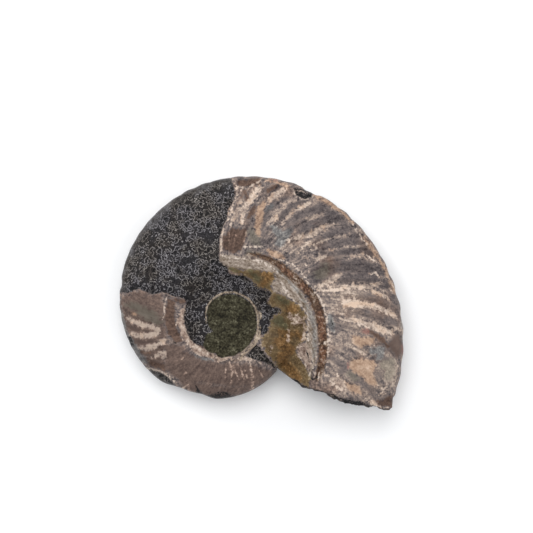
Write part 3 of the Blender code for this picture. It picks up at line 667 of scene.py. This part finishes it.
def flankHeight(flat, upper):           # height over the median plane, as the marks there shape it
    x, y = flat[:, 0], flat[:, 1]
    angle, radius = turnOf(x, y)
    share = flankShare(angle, radius)
    hollow, shoulder = hollowRadius(angle), shoulderRadius(angle)
    height = flankProfile(angle, radius)
    edge = smoothStep((1 - share) / coil["rimFade"])
    plain = landOnOlder(height, angle, radius, x, y)
    spots = pictureSpot(inFrame(np.stack([x, y, plain], 1)), flat=not upper)
    depth = {name: markDepth(name, spots) for name in marks} if upper else backMarks(spots, x, y)

    def step(name):
        rise, run, start = relief["steps"][name]
        return rise * smoothStep(depth[name] / run + start)

    bare = smoothStep(depth["mould"] / relief["ledgeRun"] + 0.5)
    height += ribRelief(angle, share) * edge * (1 - relief["ribLoss"] * bare)
    height -= relief["ledge"] * bare * edge * smoothStep((radius - hollow) / relief["ledgeFoot"])
    height += step("groove")
    if upper:
        crushed = smoothStep((angle - relief["crushStart"]) / (relief["crushEnd"] - relief["crushStart"]))
        height += crushed * relief["ridge"] * bump(radius - shoulder, relief["ridgeWidth"])
        points = np.stack([x, y, np.zeros(len(x))], 1)
        rough = relief["calcite"] * fractal(points + 9.0, relief["calciteSize"])
        height += step("crest") + rough * smoothStep(depth["amber"] / relief["calciteRun"]) + step("lump")
    height = landOnOlder(height, angle, radius, x, y)
    height -= coil["hollowDish"] * smoothStep((hollow - radius) / hollow)
    height += step("ring") + step("crust") + step("black")
    peeled = np.maximum(depth["cream"], depth["peach"]) / relief["peelRun"]
    height -= relief["peel"] * smoothStep(peeled + 0.5) * edge
    height += roughness(x, y, 5.0 if upper else 45.0) * (0.3 + 0.7 * edge)
    return height


back = {                                # the hidden flank: degrees, millimetres, shares of a rib or flank
    "bare": (118.0, 214.0),             # no shell between these angles
    "smoothTo": 150.0,
    "streaksFrom": 222.0,
    "streaks": {"cream": (1.0, 0.0, 0.30), "dark": (5.0, 0.5, 0.34)},   # seed, shift, half width in ribs
    "patches": {"peach": (9.0, 0.42, 318.0), "pale": (7.0, 0.30, 236.0), "steel": (8.0, 0.48, 200.0)},
    "stains": {"olive": (6.0, 0.40, 46.0), "honey": (4.5, 0.05, 300.0), "lump": (3.0, 0.5, 300.0)},
    "band": (-0.2, 1.5, 236.0),         # middle and half width beside the shoulder, and from which angle
    "groove": (2.3, 0.9, 296.0),
    "calcite": (-3.6, 2.9, 300.0),
    "bareSlope": (-1.4, 232.0),
    "crust": (-2.6, 0.6, 60.0),
    "chips": [(251.0, 0.96, 4.0), (342.0, 0.92, 2.6), (96.0, 0.97, 3.0)],   # angle, share, pixels
    "wander": 6.0,
    "uneven": {"bare": 9, "smooth": 12, "streak": 1.5, "slope": 3, "strip": 1.2, "chip": 9},
    "chipGrain": 1.4,
    "taper": 22.0,                      # over which the band and the groove widen from their start
    "keel": (-0.5, 2.4, 2.6, 4.0),      # at what height the front's marks end, over what run, how unevenly
    "stray": (2.5, 16.0, 2.6),          # how they wander on the keel: height, pixels and size of the bends
}


def chance(index, seed):                # the same number from 0 to 1 for the same index
    return np.modf(np.abs(np.sin(index * 12.9898 + seed * 78.233)) * 43758.5453)[0]


def backMarks(spots, x, y):
    angle, radius = turnOf(x, y)
    share = flankShare(angle, radius)
    quiet = np.full(len(x), -12.0)
    depth = {name: quiet for name in marks}
    for name in ("plug", "ring"):
        depth[name] = markDepth(name, spots)
    pixel = picture["millimetresPerPixel"]
    flat = np.stack([x, y, np.full(len(x), 60.0)], 1)
    wander, broken, uneven = fractal(flat, back["wander"]), fractal(flat, back["chipGrain"]), back["uneven"]
    along = angle - coil["ribLean"] * share ** coil["ribSweep"]
    degree = np.radians(radius) / pixel
    low, high = back["bare"]
    depth["mould"] = (np.minimum(along - low, high - along) + uneven["bare"] * wander) * degree
    depth["smooth"] = (back["smoothTo"] - along + uneven["smooth"] * wander) * degree
    beside = radius - shoulderRadius(angle)
    tall = (venterRadius(angle) - shoulderRadius(angle)) / pixel
    turn = ribTurn(angle, share)
    for name, (seed, shift, half) in back["streaks"].items():
        own = np.round(turn - shift)
        foot, head = 0.5 * chance(own, seed), 0.6 + 0.4 * chance(own, seed + 1)
        reach = np.minimum(share - foot, head - share) * tall
        wide = half * (0.3 + 0.9 * chance(own, seed + 2)) - abs(turn - shift - own)
        streak = np.minimum(wide * coil["ribSpacing"] * degree, reach) + uneven["streak"] * wander
        depth[name] = np.minimum(streak, (angle - back["streaksFrom"]) * degree)
    for k, (name, (size, rare, since)) in enumerate({**back["patches"], **back["stains"]}.items()):
        patch = (fractal(flat + 20 * k, size) - rare) * 20      # size, how rare and from which angle
        depth[name] = np.minimum(patch, (angle - since) * degree)
        if name in back["patches"]:
            depth[name] = np.minimum(depth[name], beside / pixel)
    slope, since = back["bareSlope"]
    bare = (slope - beside) / pixel + uneven["slope"] * wander
    depth["mould"] = np.maximum(depth["mould"], np.minimum(bare, (angle - since) * degree))
    for name, key in (("band", "band"), ("groove", "groove"), ("amber", "calcite"), ("crust", "crust")):
        middle, half, since = back[key]
        width = half * smoothStep((angle - since) / back["taper"])
        strip = (width - abs(beside - middle)) / pixel + uneven["strip"] * wander
        depth[name] = np.minimum(strip, (angle - since) * degree)
    depth["crust"] = np.minimum(depth["crust"], (low - along) * degree)
    for name in ("honey", "lump"):
        depth[name] = np.minimum(depth[name], depth["amber"] + 1)
    for middle, level, size in back["chips"]:
        chip = size - np.hypot((angle - middle) * degree, (share - level) * tall)
        depth["black"] = np.maximum(depth["black"], chip + uneven["chip"] * broken)
    return {name: np.clip(values, -12, 12) for name, values in depth.items()}


def inFrame(points):                    # from millimetres about the pole to metres in the frame
    return layDown(points) / 1000 + place


place = np.zeros(3)                     # the pole in the frame, set from the venter and the height


def findPlace(venter):                  # where the pole lies, so that the keel meets the solid's box
    low, high = solidBox
    x = venter[:, 0] * math.cos(math.radians(coil["lean"]))
    pole = (low.x + high.x) / 2 - (x.min() + x.max()) / 2000
    reach = (venter[:, 1].max() + coil["rimBulge"]) / 1000
    return np.array([pole, high.y - reach, (low.z + high.z) / 2])


def stoneGeometry():
    aperture, apertureAt = apertureOutline()
    venter = venterOutline()
    outline = np.concatenate([aperture, venter])
    count, broken = len(outline), len(aperture)
    place[:] = findPlace(venter)
    upperIn, lowerIn = fillPoints(outline, grid["upperPitch"]), fillPoints(outline, grid["lowerPitch"])
    print("points", count, len(upperIn), len(lowerIn))
    upperHeight = flankHeight(np.concatenate([outline, upperIn]), True)
    lowerHeight = flankHeight(np.concatenate([outline, lowerIn]), False)
    upper = np.column_stack([np.concatenate([outline, upperIn]), upperHeight])
    lower = np.column_stack([np.concatenate([outline, lowerIn]), -lowerHeight])
    faces = [triangulate(outline, upperIn), triangulate(outline, lowerIn)[:, ::-1] + len(upper)]
    blocks = [upper, lower]
    parts = [np.zeros(len(upper)), np.ones(len(lower))]
    used = len(upper) + len(lower)
    print("flanks filled")

    columns = np.array([broken - 1, *range(broken, count), 0])      # the keel, from notch to tip
    ahead = outline[np.append(columns[1:], 0)]
    behind = outline[np.insert(columns[:-1], 0, broken - 1)]
    along = ahead - behind
    outward = np.stack([-along[:, 1], along[:, 0]], 1) / np.hypot(*along.T)[:, None]
    ends = smoothStep(np.minimum(np.arange(len(columns)), np.arange(len(columns))[::-1]) / 4)
    rows = [columns]
    for row in range(1, grid["keelRows"]):
        down = row / grid["keelRows"]
        z = upper[columns, 2] + (lower[columns, 2] - upper[columns, 2]) * down
        offset = coil["rimBulge"] * math.sin(math.pi * down) * ends
        blocks.append(np.column_stack([outline[columns] + outward * offset[:, None], z]))
        parts.append(np.full(len(columns), 2.0))
        rows.append(used + np.arange(len(columns)))
        used += len(columns)
    rows.append(len(upper) + columns)
    for above, below in zip(rows, rows[1:]):
        faces.append(np.stack([above[:-1], above[1:], below[:-1]], 1))
        faces.append(np.stack([above[1:], below[1:], below[:-1]], 1))

    notchColumn = np.array([row[0] for row in rows])
    tipColumn = np.array([row[-1] for row in rows])
    stone = np.concatenate(blocks)
    loop = np.concatenate([np.arange(broken), notchColumn[1:-1], (len(upper) + np.arange(broken))[::-1],
                           tipColumn[1:-1][::-1]])
    spread = np.concatenate([apertureAt, np.full(len(notchColumn) - 2, apertureAt[-1]), apertureAt[::-1],
                             np.zeros(len(tipColumn) - 2)])
    wallEdge = np.stack([-spread, stone[loop, 2]], 1)
    wallIn = fillPoints(wallEdge, grid["wallPitch"])
    wallFaces = triangulate(wallEdge, wallIn)
    at = -wallIn[:, 0]
    baseX, baseY = np.interp(at, apertureAt, aperture[:, 0]), np.interp(at, apertureAt, aperture[:, 1])
    slopeX = np.interp(at, apertureAt, np.gradient(aperture[:, 0], apertureAt))
    slopeY = np.interp(at, apertureAt, np.gradient(aperture[:, 1], apertureAt))
    inset = areaDepth(wallIn[:, 0], wallIn[:, 1], wallEdge.tolist())
    rough = fractal(np.column_stack([wallIn, np.full(len(at), 3.0)]), relief["wallSize"], 5)
    rough = relief["wallRough"] * rough
    push = (relief["wallBulge"] + rough) * smoothStep(inset / relief["wallRun"])
    length = np.hypot(slopeX, slopeY)
    wall = np.stack([baseX - slopeY / length * push, baseY + slopeX / length * push, wallIn[:, 1]], 1)
    index = np.concatenate([loop, used + np.arange(len(wall))])
    faces.append(index[wallFaces])
    blocks.append(wall)
    parts.append(np.full(len(wall), 3.0))
    print("aperture filled", len(wall))
    return np.concatenate(blocks), np.concatenate(faces), np.concatenate(parts)


def buildStone():
    points, faces, parts = stoneGeometry()
    laid = layDown(points)
    low, high = solidBox
    place[2] = high.z - laid[:, 2].max() / 1000
    world = laid / 1000 + place
    world = np.clip(world, low, high)
    mesh = bpy.data.meshes.new("stone")
    mesh.from_pydata(world.tolist(), [], faces.tolist())
    mesh.validate()
    mesh.shade_smooth()
    print("stone", len(mesh.vertices), "points", len(mesh.polygons), "faces")
    stone = bpy.data.objects.new("stone", mesh)
    bpy.context.scene.collection.objects.link(stone)

    angle, radius = turnOf(points[:, 0], points[:, 1])
    share = flankShare(angle, radius)
    middle, run, uneven, size = back["keel"]
    under = smoothStep((middle + uneven * fractal(points, size) - points[:, 2]) / run + 0.5)
    lower, reach, grain = back["stray"]
    astray = reach * smoothStep(0.5 - points[:, 2] / lower)
    astray = np.stack([astray * fractal(points, grain), astray * fractal(points + 40, grain)], 1)
    front = {name: markDepth(name, pictureSpot(world) + astray) for name in marks}
    hidden = backMarks(pictureSpot(world, flat=True), points[:, 0], points[:, 1])
    wall = parts == 3
    for name in marks:
        depth = front[name] + (hidden[name] - front[name]) * under
        depth[wall] = -12
        addLayer(mesh, name, depth)
    addLayer(mesh, "wall", wall.astype(float))
    below = flankProfile(angle, radius) - abs(points[:, 2])     # under the skin of either flank
    addLayer(mesh, "below", np.where(wall, below, 9.0))
    # painted shade on the broken face, darkest at its upper edge and fading inwards
    ragged, size = relief["browShadeEdge"]
    brow = 1 - smoothStep(below / relief["brow"] + ragged * fractal(points, size))
    addLayer(mesh, "brow", brow * smoothStep(points[:, 2] / 3))
    addLayer(mesh, "ribTurn", ribTurn(angle, share))
    addLayer(mesh, "across", share + np.minimum(radius - shoulderRadius(angle), 0) * 0.3)
    addLayer(mesh, "beside", radius - shoulderRadius(angle))
    addLayer(mesh, "under", under)
    return stone


def addLayer(mesh, name, values):
    layer = mesh.attributes.new(name, "FLOAT", "POINT")
    layer.data.foreach_set("value", values.astype(np.float32))


class Wire:                             # a socket that takes part in sums
    def __init__(self, kit, socket):
        self.kit, self.socket = kit, socket

    def maths(self, operation, a, b):
        return self.kit.node("ShaderNodeMath", {"operation": operation}, {0: a, 1: b})

    def __add__(self, other):
        return self.maths("ADD", self, other)

    __radd__ = __add__

    def __sub__(self, other):
        return self.maths("SUBTRACT", self, other)

    def __rsub__(self, other):
        return self.maths("SUBTRACT", other, self)

    def __mul__(self, other):
        return self.maths("MULTIPLY", self, other)

    __rmul__ = __mul__

    def __truediv__(self, other):
        return self.maths("DIVIDE", self, other)

    def __or__(self, other):            # the greater of two
        return self.maths("MAXIMUM", self, other)

    def __abs__(self):
        return self.kit.node("ShaderNodeMath", {"operation": "ABSOLUTE"}, {0: self})


class Kit:                              # adds nodes to one material
    def __init__(self, name):
        self.material = bpy.data.materials.new(name)
        self.material.use_nodes = True
        self.tree = self.material.node_tree
        self.shader = self.tree.nodes["Principled BSDF"]

    def node(self, kind, settings=None, sockets=None, output=0):
        made = self.tree.nodes.new(kind)
        for name, value in (settings or {}).items():
            if name == "stops":
                ramp = made.color_ramp
                while len(ramp.elements) < len(value):
                    ramp.elements.new(0.5)
                for element, (position, shade) in zip(ramp.elements, value):
                    element.position, element.color = position, shade
            else:
                setattr(made, name, value)
        for name, value in (sockets or {}).items():
            if isinstance(value, Wire):
                self.tree.links.new(value.socket, made.inputs[name])
            else:
                made.inputs[name].default_value = value
        return Wire(self, made.outputs[output])

    def layer(self, name):
        return self.node("ShaderNodeAttribute", {"attribute_name": name}, output="Fac")

    def noise(self, spot, scale, detail, roughness=0.5, output="Fac"):
        sockets = {"Vector": spot, "Scale": scale, "Detail": detail, "Roughness": roughness}
        return self.node("ShaderNodeTexNoise", {}, sockets, output)

    def swing(self, spot, scale, detail, roughness):    # noise from about -1 to 1
        return (self.noise(spot, scale, detail, roughness) - 0.5) * 6

    def fade(self, value, low, high):   # 0 at low, 1 at high, smooth between
        return self.node("ShaderNodeMapRange", {"interpolation_type": "SMOOTHSTEP"},
                         {"Value": value, "From Min": low, "From Max": high})

    def blend(self, under, over, share):
        return self.node("ShaderNodeMix", {"data_type": "RGBA"}, {0: share, 6: under, 7: over}, output=2)

    def move(self, spot, by):
        return self.node("ShaderNodeVectorMath", {"operation": "ADD"}, {0: spot, 1: by})

    def scale(self, spot, by):
        return self.node("ShaderNodeVectorMath", {"operation": "SCALE"}, {0: spot, "Scale": by})

    def ramp(self, tone, shades):       # evenly spaced colours, dark to light
        stops = [(k / (len(shades) - 1), colour(*shade)) for k, shade in enumerate(shades)]
        return self.node("ShaderNodeValToRGB", {"stops": stops}, {0: tone})

    def feed(self, name, value):
        if isinstance(value, Wire):
            self.tree.links.new(value.socket, self.shader.inputs[name])
        else:
            self.shader.inputs[name].default_value = value


def colour(red, green, blue):           # from the 0 to 255 numbers of a picture
    linear = [((v / 255 + 0.055) / 1.055) ** 2.4 if v > 10 else v / 255 / 12.92 for v in (red, green, blue)]
    return (*linear, 1.0)


sutureLook = {
    "florets": 0.54,                    # a millimetre
    "lobes": 1.32,
    "lobeShare": 0.9,
    "smooth": 0.3,
    "levels": [0.60, 0.84],
    "step": 0.05,
    "light": (-0.10, 0.03, 0.15),       # millimetres from the line, then from where to where it fades
    "pit": (0.21, 0.08, 0.32),
}
stoneLook = {
    "noises": {                         # shift, features a millimetre, detail and roughness
        "coarse": ((5, 2, 8), 0.16, 3, 0.5),
        "patch": ((1, 9, 4), 0.45, 3, 0.55),
        "grain": ((7, 3, 1), 1.15, 3, 0.6),
        "fine": ((0, 0, 0), 2.2, 1, 0.5),
        "speck": ((3, 3, 3), 3.2, 1, 0.5),
        "veins": ((2, 8, 6), 0.42, 2, 0.6),
    },
    "edges": {                          # how soft and how ragged the edge of a mark is, in pixels
        "cream": (1.4, 0.9),
        "pale": (1.8, 1.0),
        "dark": (1.5, 0.9),
        "peach": (1.6, 0.7),
        "brown": (1.4, 0.8),
        "steel": (1.6, 1.0),
        "rose": (1.4, 1.0),
        "white": (0.6, 0.3),
        "edge": (0.6, 0.35),
        "band": (0.8, 0.7),
        "crest": (0.8, 0.5),
        "groove": (1.0, 0.9),
        "rust": (2.0, 1.0),
        "amber": (0.9, 1.0),
        "honey": (2.6, 1.0),
        "olive": (3.0, 1.6),
        "lump": (1.6, 1.0),
        "crust": (0.7, 0.8),
        "ring": (0.6, 0.3),
        "plug": (0.6, 0.3),
        "black": (0.7, 0.6),
    },
    "tones": {                          # a tone, and how much of each noise is added to it
        "shell": (0.42, {"patch": 0.06, "coarse": 0.02}),
        "mottle": (0.0, {"fine": 0.10, "grain": 0.17, "flecks": 0.05, "streak": 0.20}),     # on the shell
        "mould": (0.28, {"fine": 0.03, "grain": 0.04, "patch": 0.03, "speck": 0.02}),
        "marginSheen": (0.40, {"patch": 0.20, "streak": 0.20, "fine": 0.14, "coarse": 0.10}),
        "band": (0.47, {"fine": 0.10, "grain": 0.14, "patch": 0.12, "flecks": 0.08, "lengthways": 0.20}),
        "groove": (0.42, {"fine": 0.14, "grain": 0.20, "patch": 0.12, "flecks": 0.08, "lengthways": 0.10}),
        "calcite": (0.37, {"grain": 0.12, "patch": 0.12, "fine": 0.07, "coarse": 0.06}),
        "crust": (0.38, {"fine": 0.10, "grain": 0.20, "patch": 0.20, "flecks": 0.04}),
        "lines": (0.66, {"grain": 0.20}),
        "ring": (0.55, {"fine": 0.16, "grain": 0.22, "patch": 0.16}),
        "plug": (0.38, {"fine": 0.20, "grain": 0.26, "patch": 0.20, "flecks": 0.12}),
        "wall": (0.42, {"patch": 0.18, "grain": 0.16, "fine": 0.12, "coarse": 0.10, "flecks": 0.10}),
        "bump": (0.0, {"fine": 0.02, "grain": 0.03, "speck": 0.012, "flecks": 0.02}),       # a height
    },
    "shifts": {                         # how much each mark lightens or darkens the shell
        "light": 0.12,
        "cream": 0.29,
        "pale": 0.12,
        "peach": 0.08,
        "dark": -0.12,
        "brown": -0.10,
        "calm": -0.06,
        "thin": 0.26,
        "brinkHighlight": 0.14,
    },
    "shades": {                         # from dark to light; a tone from 0 to 1 picks among them
        "shell": [(47, 41, 42), (80, 73, 73), (107, 97, 94), (137, 122, 113), (172, 154, 140),
                  (208, 189, 173)],
        "shellBrown": [(52, 38, 32), (84, 66, 57), (108, 87, 76), (138, 112, 98), (172, 150, 136)],
        "shellOlive": [(56, 52, 46), (84, 79, 70), (108, 102, 92), (138, 129, 116), (172, 160, 144)],
        "shellSteel": [(50, 50, 52), (80, 81, 82), (112, 114, 114), (148, 149, 147), (184, 183, 179)],
        "shellPeach": [(98, 74, 58), (138, 110, 90), (168, 138, 114), (190, 160, 136), (210, 184, 162)],
        "shellRose": [(104, 66, 60), (140, 96, 88), (170, 130, 118)],
        "mould": [(12, 11, 11), (38, 34, 32), (68, 62, 58), (104, 98, 93), (148, 142, 136),
                  (196, 191, 184)],
        "mouldBlue": [(13, 13, 15), (38, 36, 38), (67, 64, 66), (103, 100, 102), (146, 142, 145),
                      (192, 189, 191)],
        "marginSheen": [(54, 51, 50), (78, 75, 74), (98, 96, 97), (124, 123, 126)],
        "plug": [(24, 22, 15), (44, 41, 29), (62, 59, 45), (80, 77, 61), (112, 108, 90)],
        "ring": [(78, 64, 52), (122, 106, 90), (158, 142, 124), (190, 174, 156)],
        "crust": [(92, 72, 62), (132, 112, 100), (170, 150, 136), (202, 186, 172), (220, 206, 192)],
        "band": [(74, 60, 48), (112, 98, 84), (144, 130, 118), (172, 158, 146), (204, 190, 178)],
        "groove": [(36, 26, 20), (66, 48, 38), (100, 78, 62), (134, 112, 94), (166, 146, 128)],
        "rust": [(48, 31, 24), (80, 55, 43), (113, 81, 62), (143, 114, 94), (170, 147, 128)],
        "amber": [(48, 38, 24), (78, 62, 42), (104, 86, 60), (136, 117, 90), (176, 158, 136)],
        "honey": [(51, 36, 21), (82, 60, 35), (114, 85, 52), (150, 119, 80), (186, 160, 124)],
        "olive": [(38, 36, 24), (62, 60, 44), (88, 84, 62), (118, 110, 84)],
        "wall": [(22, 20, 20), (50, 45, 43), (84, 75, 69), (120, 107, 96), (160, 145, 130)],
        "black": (26, 25, 26),          # one shade, for cracks and chips, and painted shade along the lower edges
    },
}


def sutures(kit, spot, bend):           # frilled lines, light along one side and dark along the other
    bent = kit.move(spot, bend)

    def frill(at):                      # lobed blobs, as high as they are far from their middles
        blobs = []
        for size in ("florets", "lobes"):
            sockets = {"Vector": at, "Smoothness": sutureLook["smooth"], "Scale": sutureLook[size]}
            blobs.append(kit.node("ShaderNodeTexVoronoi", {"feature": "SMOOTH_F1"}, sockets))
        return blobs[0] + blobs[1] * sutureLook["lobeShare"]

    here, step = frill(bent), sutureLook["step"]
    slopeX = (frill(kit.move(bent, (step, 0, 0))) - here) / step
    slopeY = (frill(kit.move(bent, (0, step, 0))) - here) / step
    slope = kit.node("ShaderNodeMath", {"operation": "SQRT"}, {0: slopeX * slopeX + slopeY * slopeY + 0.01})
    drawn = []
    for name in ("light", "pit"):
        shift, near, far = sutureLook[name]
        line = 0.0
        for level in sutureLook["levels"]:
            away = (here - level) / slope       # millimetres from the line
            line = (1 - kit.fade(abs(away + shift), near, far)) | line
        drawn.append(line)
    return drawn


def stoneMaterial():
    kit = Kit("fossilStone")
    look = stoneLook
    spot = kit.scale(kit.node("ShaderNodeTexCoord", output="Object"), 1000.0)      # millimetres
    noises = {}
    for name, (shift, *rest) in look["noises"].items():
        noises[name] = kit.swing(kit.move(spot, shift), *rest)
    coarse, patch, grain, fine, speck, veins = noises.values()
    wobble = grain * 1.5 + fine * 0.4 + patch * 0.8

    turn, across = kit.layer("ribTurn"), kit.layer("across")
    under, beside = kit.layer("under"), kit.layer("beside")
    alongRibs = kit.node("ShaderNodeCombineXYZ", {}, {0: turn * 3.0, 1: across * 3.0, 2: under * 2.5})
    alongCoil = kit.node("ShaderNodeCombineXYZ", {}, {0: turn * 0.9, 1: beside * 1.5, 2: 3.0})
    streak, lengthways = kit.swing(alongRibs, 1.0, 4, 0.62), kit.swing(alongCoil, 1.0, 2, 0.55)
    flecks = kit.fade(speck + grain * 0.5, 0.55, 1.1) - kit.fade(speck * -1 + patch * 0.4, 0.5, 1.05)
    noises.update(streak=streak, lengthways=lengthways, flecks=flecks)

    def within(name):                   # 1 inside a mark, 0 outside
        soft, ragged = look["edges"][name]
        return kit.fade(kit.layer(name) + wobble * ragged, -soft, soft)

    def tone(name):
        total, shares = look["tones"][name]
        for noise, share in shares.items():
            total = total + noises[noise] * share
        return total

    def tint(value, shades):
        return kit.ramp(value, look["shades"][shades])

    def paint(below, value, shades, share):
        return kit.blend(below, tint(value, shades), share)

    cream, pale, dark = within("cream"), within("pale"), within("dark")
    peach, brown, steel = within("peach"), within("brown"), within("steel")
    white, clear, plug = within("white"), within("amber"), within("plug")
    olive = kit.fade(kit.layer("olive") + wobble + streak * 2.5, -3.0, 3.0)
    light = kit.fade(kit.layer("light") + patch * 3, -5, 7)
    broken = kit.fade(grain + fine * 0.5, -0.7, 0.3)    # where a thin line is missing
    thin = within("edge") * broken
    bareDepth = kit.layer("mould") + wobble * (0.5 + kit.fade(kit.layer("amber"), -9, -4) * 0.5)
    bare = kit.fade(bareDepth, -0.5, 0.5)
    # painted highlight: a light line on the shell just beside its broken edge over the mould
    brinkHighlight = (1 - kit.fade(abs(bareDepth + 1.3), 0.3, 1.3)) * kit.fade(patch + grain * 0.6, -0.9, 0.5)
    calm = kit.fade(kit.layer("smooth") + patch * 2, -3.0, 3.0) | (brown * 0.6)
    busy = 1.1 - (dark | olive) * 0.45 - calm * 0.55 - (cream | peach) * 0.3
    # white adds white streaks and flecks, and the painted glint across the black chip
    shell = tone("shell") + tone("mottle") * busy + white * (0.2 + broken * 0.25)
    changes = (light, cream, pale, peach, dark, brown, calm, thin, brinkHighlight)
    for change, shift in zip(changes, look["shifts"].values()):
        shell = shell + change * shift
    shade = tint(shell, "shell")
    shade = paint(shade, shell, "shellBrown", (brown | calm * 0.7 | (coarse * 0.5)) * (1 - cream))
    shade = paint(shade, shell, "shellOlive", olive * 0.75)
    # blue-grey: the skin's own colour, and on the left plate and the right rim painted reflection of the
    # sky
    shade = paint(shade, shell, "shellSteel", steel * 0.7 * (1 - cream))
    shade = paint(shade, shell, "shellPeach", peach * 0.8 + cream * kit.fade(patch, 0.1, 1.0) * 0.5)
    shade = paint(shade, shell, "shellRose", within("rose") * 0.7)

    bend = kit.move(kit.noise(spot, 0.8, 1, output="Color"), (-0.5, -0.5, -0.5))
    lines, pits = sutures(kit, spot, kit.scale(bend, 0.8))
    lines = lines * kit.fade(fine + speck * 0.3, -1.6, -0.5) | kit.fade(speck + fine * 0.5, 0.9, 1.5) * 0.5
    pits = pits | kit.fade(speck * -1 - fine * 0.5, 0.7, 1.3) * 0.8
    # the mould's margin by the venter: fewer sutures there, and a lighter grey that is painted sheen on the
    # rounded venter
    marginSheen = kit.fade(across + patch * 0.05 + coarse * 0.03, 0.84, 1.0)
    crowd = kit.fade(patch * 0.7 + grain * 0.25 + coarse * 0.2 - marginSheen * 1.2, -1.5, -0.1)
    mouldTone = tone("mould") + marginSheen * 0.12 - crowd * 0.12
    mouldTone = mouldTone + lines * (0.05 + crowd * 0.50) - pits * (0.04 + crowd * 0.32)
    # painted shade: the mould darkens just beside the shell's ledge
    mouldTone = mouldTone - (1 - kit.fade(bareDepth + patch * 2, 0.4, 7)) * 0.10
    blue = kit.fade(coarse + patch * 0.4, -0.8, 0.8)
    mould = paint(tint(mouldTone, "mould"), mouldTone, "mouldBlue", blue)
    mould = paint(mould, tone("marginSheen"), "marginSheen", marginSheen * 0.6)
    shade = kit.blend(shade, mould, bare)

    bandTone = tone("band") + within("crest") * broken * 0.3 + thin * 0.3
    band = paint(tint(bandTone, "band"), bandTone, "shellSteel", steel * 0.55)
    shade = kit.blend(shade, band, within("band"))
    grooveTone = tone("groove")
    groove = paint(tint(grooveTone, "groove"), grooveTone, "rust", within("rust"))
    groove = kit.blend(groove, band, kit.fade(patch * 0.7 + grain * 0.7, 0.2, 0.9) * 0.65)
    shade = kit.blend(shade, groove, within("groove"))

    brim = 1 - kit.fade(kit.layer("amber") + wobble * 0.6, 0.5, 4.5)     # the calcite thins to a light edge
    vein = 1 - kit.fade(abs(veins), 0.03, 0.16)
    calciteTone = tone("calcite") + brim * 0.16 + vein * broken * 0.22
    calcite = paint(tint(calciteTone, "amber"), calciteTone, "honey", within("honey"))
    calcite = paint(calcite, calciteTone, "olive", within("olive") * 0.85)
    shade = kit.blend(shade, calcite, clear)

    crust = tint(tone("crust"), "crust")
    shade = kit.blend(shade, crust, within("lump") * 0.8)
    shade = paint(shade, tone("lines"), "crust", thin * 0.6)
    shade = kit.blend(shade, crust, within("crust"))
    shade = paint(shade, tone("ring"), "ring", within("ring") * 0.95)
    shade = paint(shade, tone("plug"), "plug", plug)
    # black for cracks and chips, and painted shade along the lower edges; it gives way to the painted glint
    # in the chip
    black = within("black") * kit.fade(fine, -1.4, 0.0) * (1 - white * 0.6)
    shade = kit.blend(shade, colour(*look["shades"]["black"]), black)

    # the broken face, with painted shade along its upper edge
    wall, brow = kit.fade(kit.layer("wall"), 0.3, 0.6), kit.layer("brow")
    skin = 1 - kit.fade(abs(kit.layer("below") + grain * 0.25 - 0.7), 0.2, 0.6)      # the shell, cut across
    spar = kit.fade(patch + coarse * 0.5, 0.6, 1.4)
    wallTone = tone("wall")
    face = tint(wallTone + skin * broken * 0.34 - brow * 0.7, "wall")
    face = paint(face, wallTone, "amber", spar * (1 - brow) * 0.5)
    shade = kit.blend(shade, face, wall)

    kit.feed("Base Color", shade)
    kit.feed("Roughness", 0.54 + grain * 0.08 - bare * 0.08 - clear * 0.18 + plug * 0.3 + wall * 0.25)
    height = tone("bump") * (busy + bare * 0.3)
    bumps = kit.node("ShaderNodeBump", {}, {"Strength": 0.8, "Distance": 0.001, "Height": height})
    kit.feed("Normal", bumps)
    kit.feed("Specular IOR Level", 0.12)
    return kit.material


studio = {
    "floor": 2.4,                       # metres across
    "floorColour": (0.93, 0.93, 0.93, 1.0),
    "sky": (0.95, 0.97, 1.0, 1.0),
    "skyStrength": 0.58,
    "lamps": [                          # place, size, watts
        ((-0.10, 0.26, 0.82), 0.60, 4.6),
        ((-0.55, 0.50, 0.30), 0.30, 1.6),
        ((0.60, 0.05, 0.60), 0.5, 1.2),
    ],
}


def buildStudio():
    scene = bpy.context.scene
    half = studio["floor"] / 2
    mesh = bpy.data.meshes.new("floor")
    corners = [(-half, -half, 0), (half, -half, 0), (half, half, 0), (-half, half, 0)]
    mesh.from_pydata(corners, [], [(0, 1, 2, 3)])
    floor = bpy.data.objects.new("floor", mesh)
    scene.collection.objects.link(floor)
    kit = Kit("floor")
    kit.feed("Base Color", studio["floorColour"])
    kit.feed("Roughness", 0.9)
    mesh.materials.append(kit.material)
    world = bpy.data.worlds.new("studio")
    world.use_nodes = True
    background = world.node_tree.nodes["Background"]
    background.inputs["Color"].default_value = studio["sky"]
    background.inputs["Strength"].default_value = studio["skyStrength"]
    scene.world = world
    for k, (where, size, power) in enumerate(studio["lamps"]):
        light = bpy.data.lights.new(f"softbox{k}", "AREA")
        light.size = size
        light.energy = power
        lamp = bpy.data.objects.new(f"softbox{k}", light)
        lamp.location = where
        lamp.rotation_euler = (-Vector(where)).to_track_quat("-Z", "Y").to_euler()
        scene.collection.objects.link(lamp)
    camera = bpy.data.objects.new("camera", bpy.data.cameras.new("camera"))
    camera.data.lens = picture["lens"]
    camera.data.sensor_width = picture["sensor"]
    camera.data.clip_start = 0.01
    camera.location = cameraPlace()
    scene.collection.objects.link(camera)
    scene.camera = camera
    scene.view_settings.view_transform = "Standard"


buildStudio()
print("studio ready")
stone = buildStone()
stone.data.materials.append(stoneMaterial())
print("material ready")
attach(stone, "root")
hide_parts("ammonite")
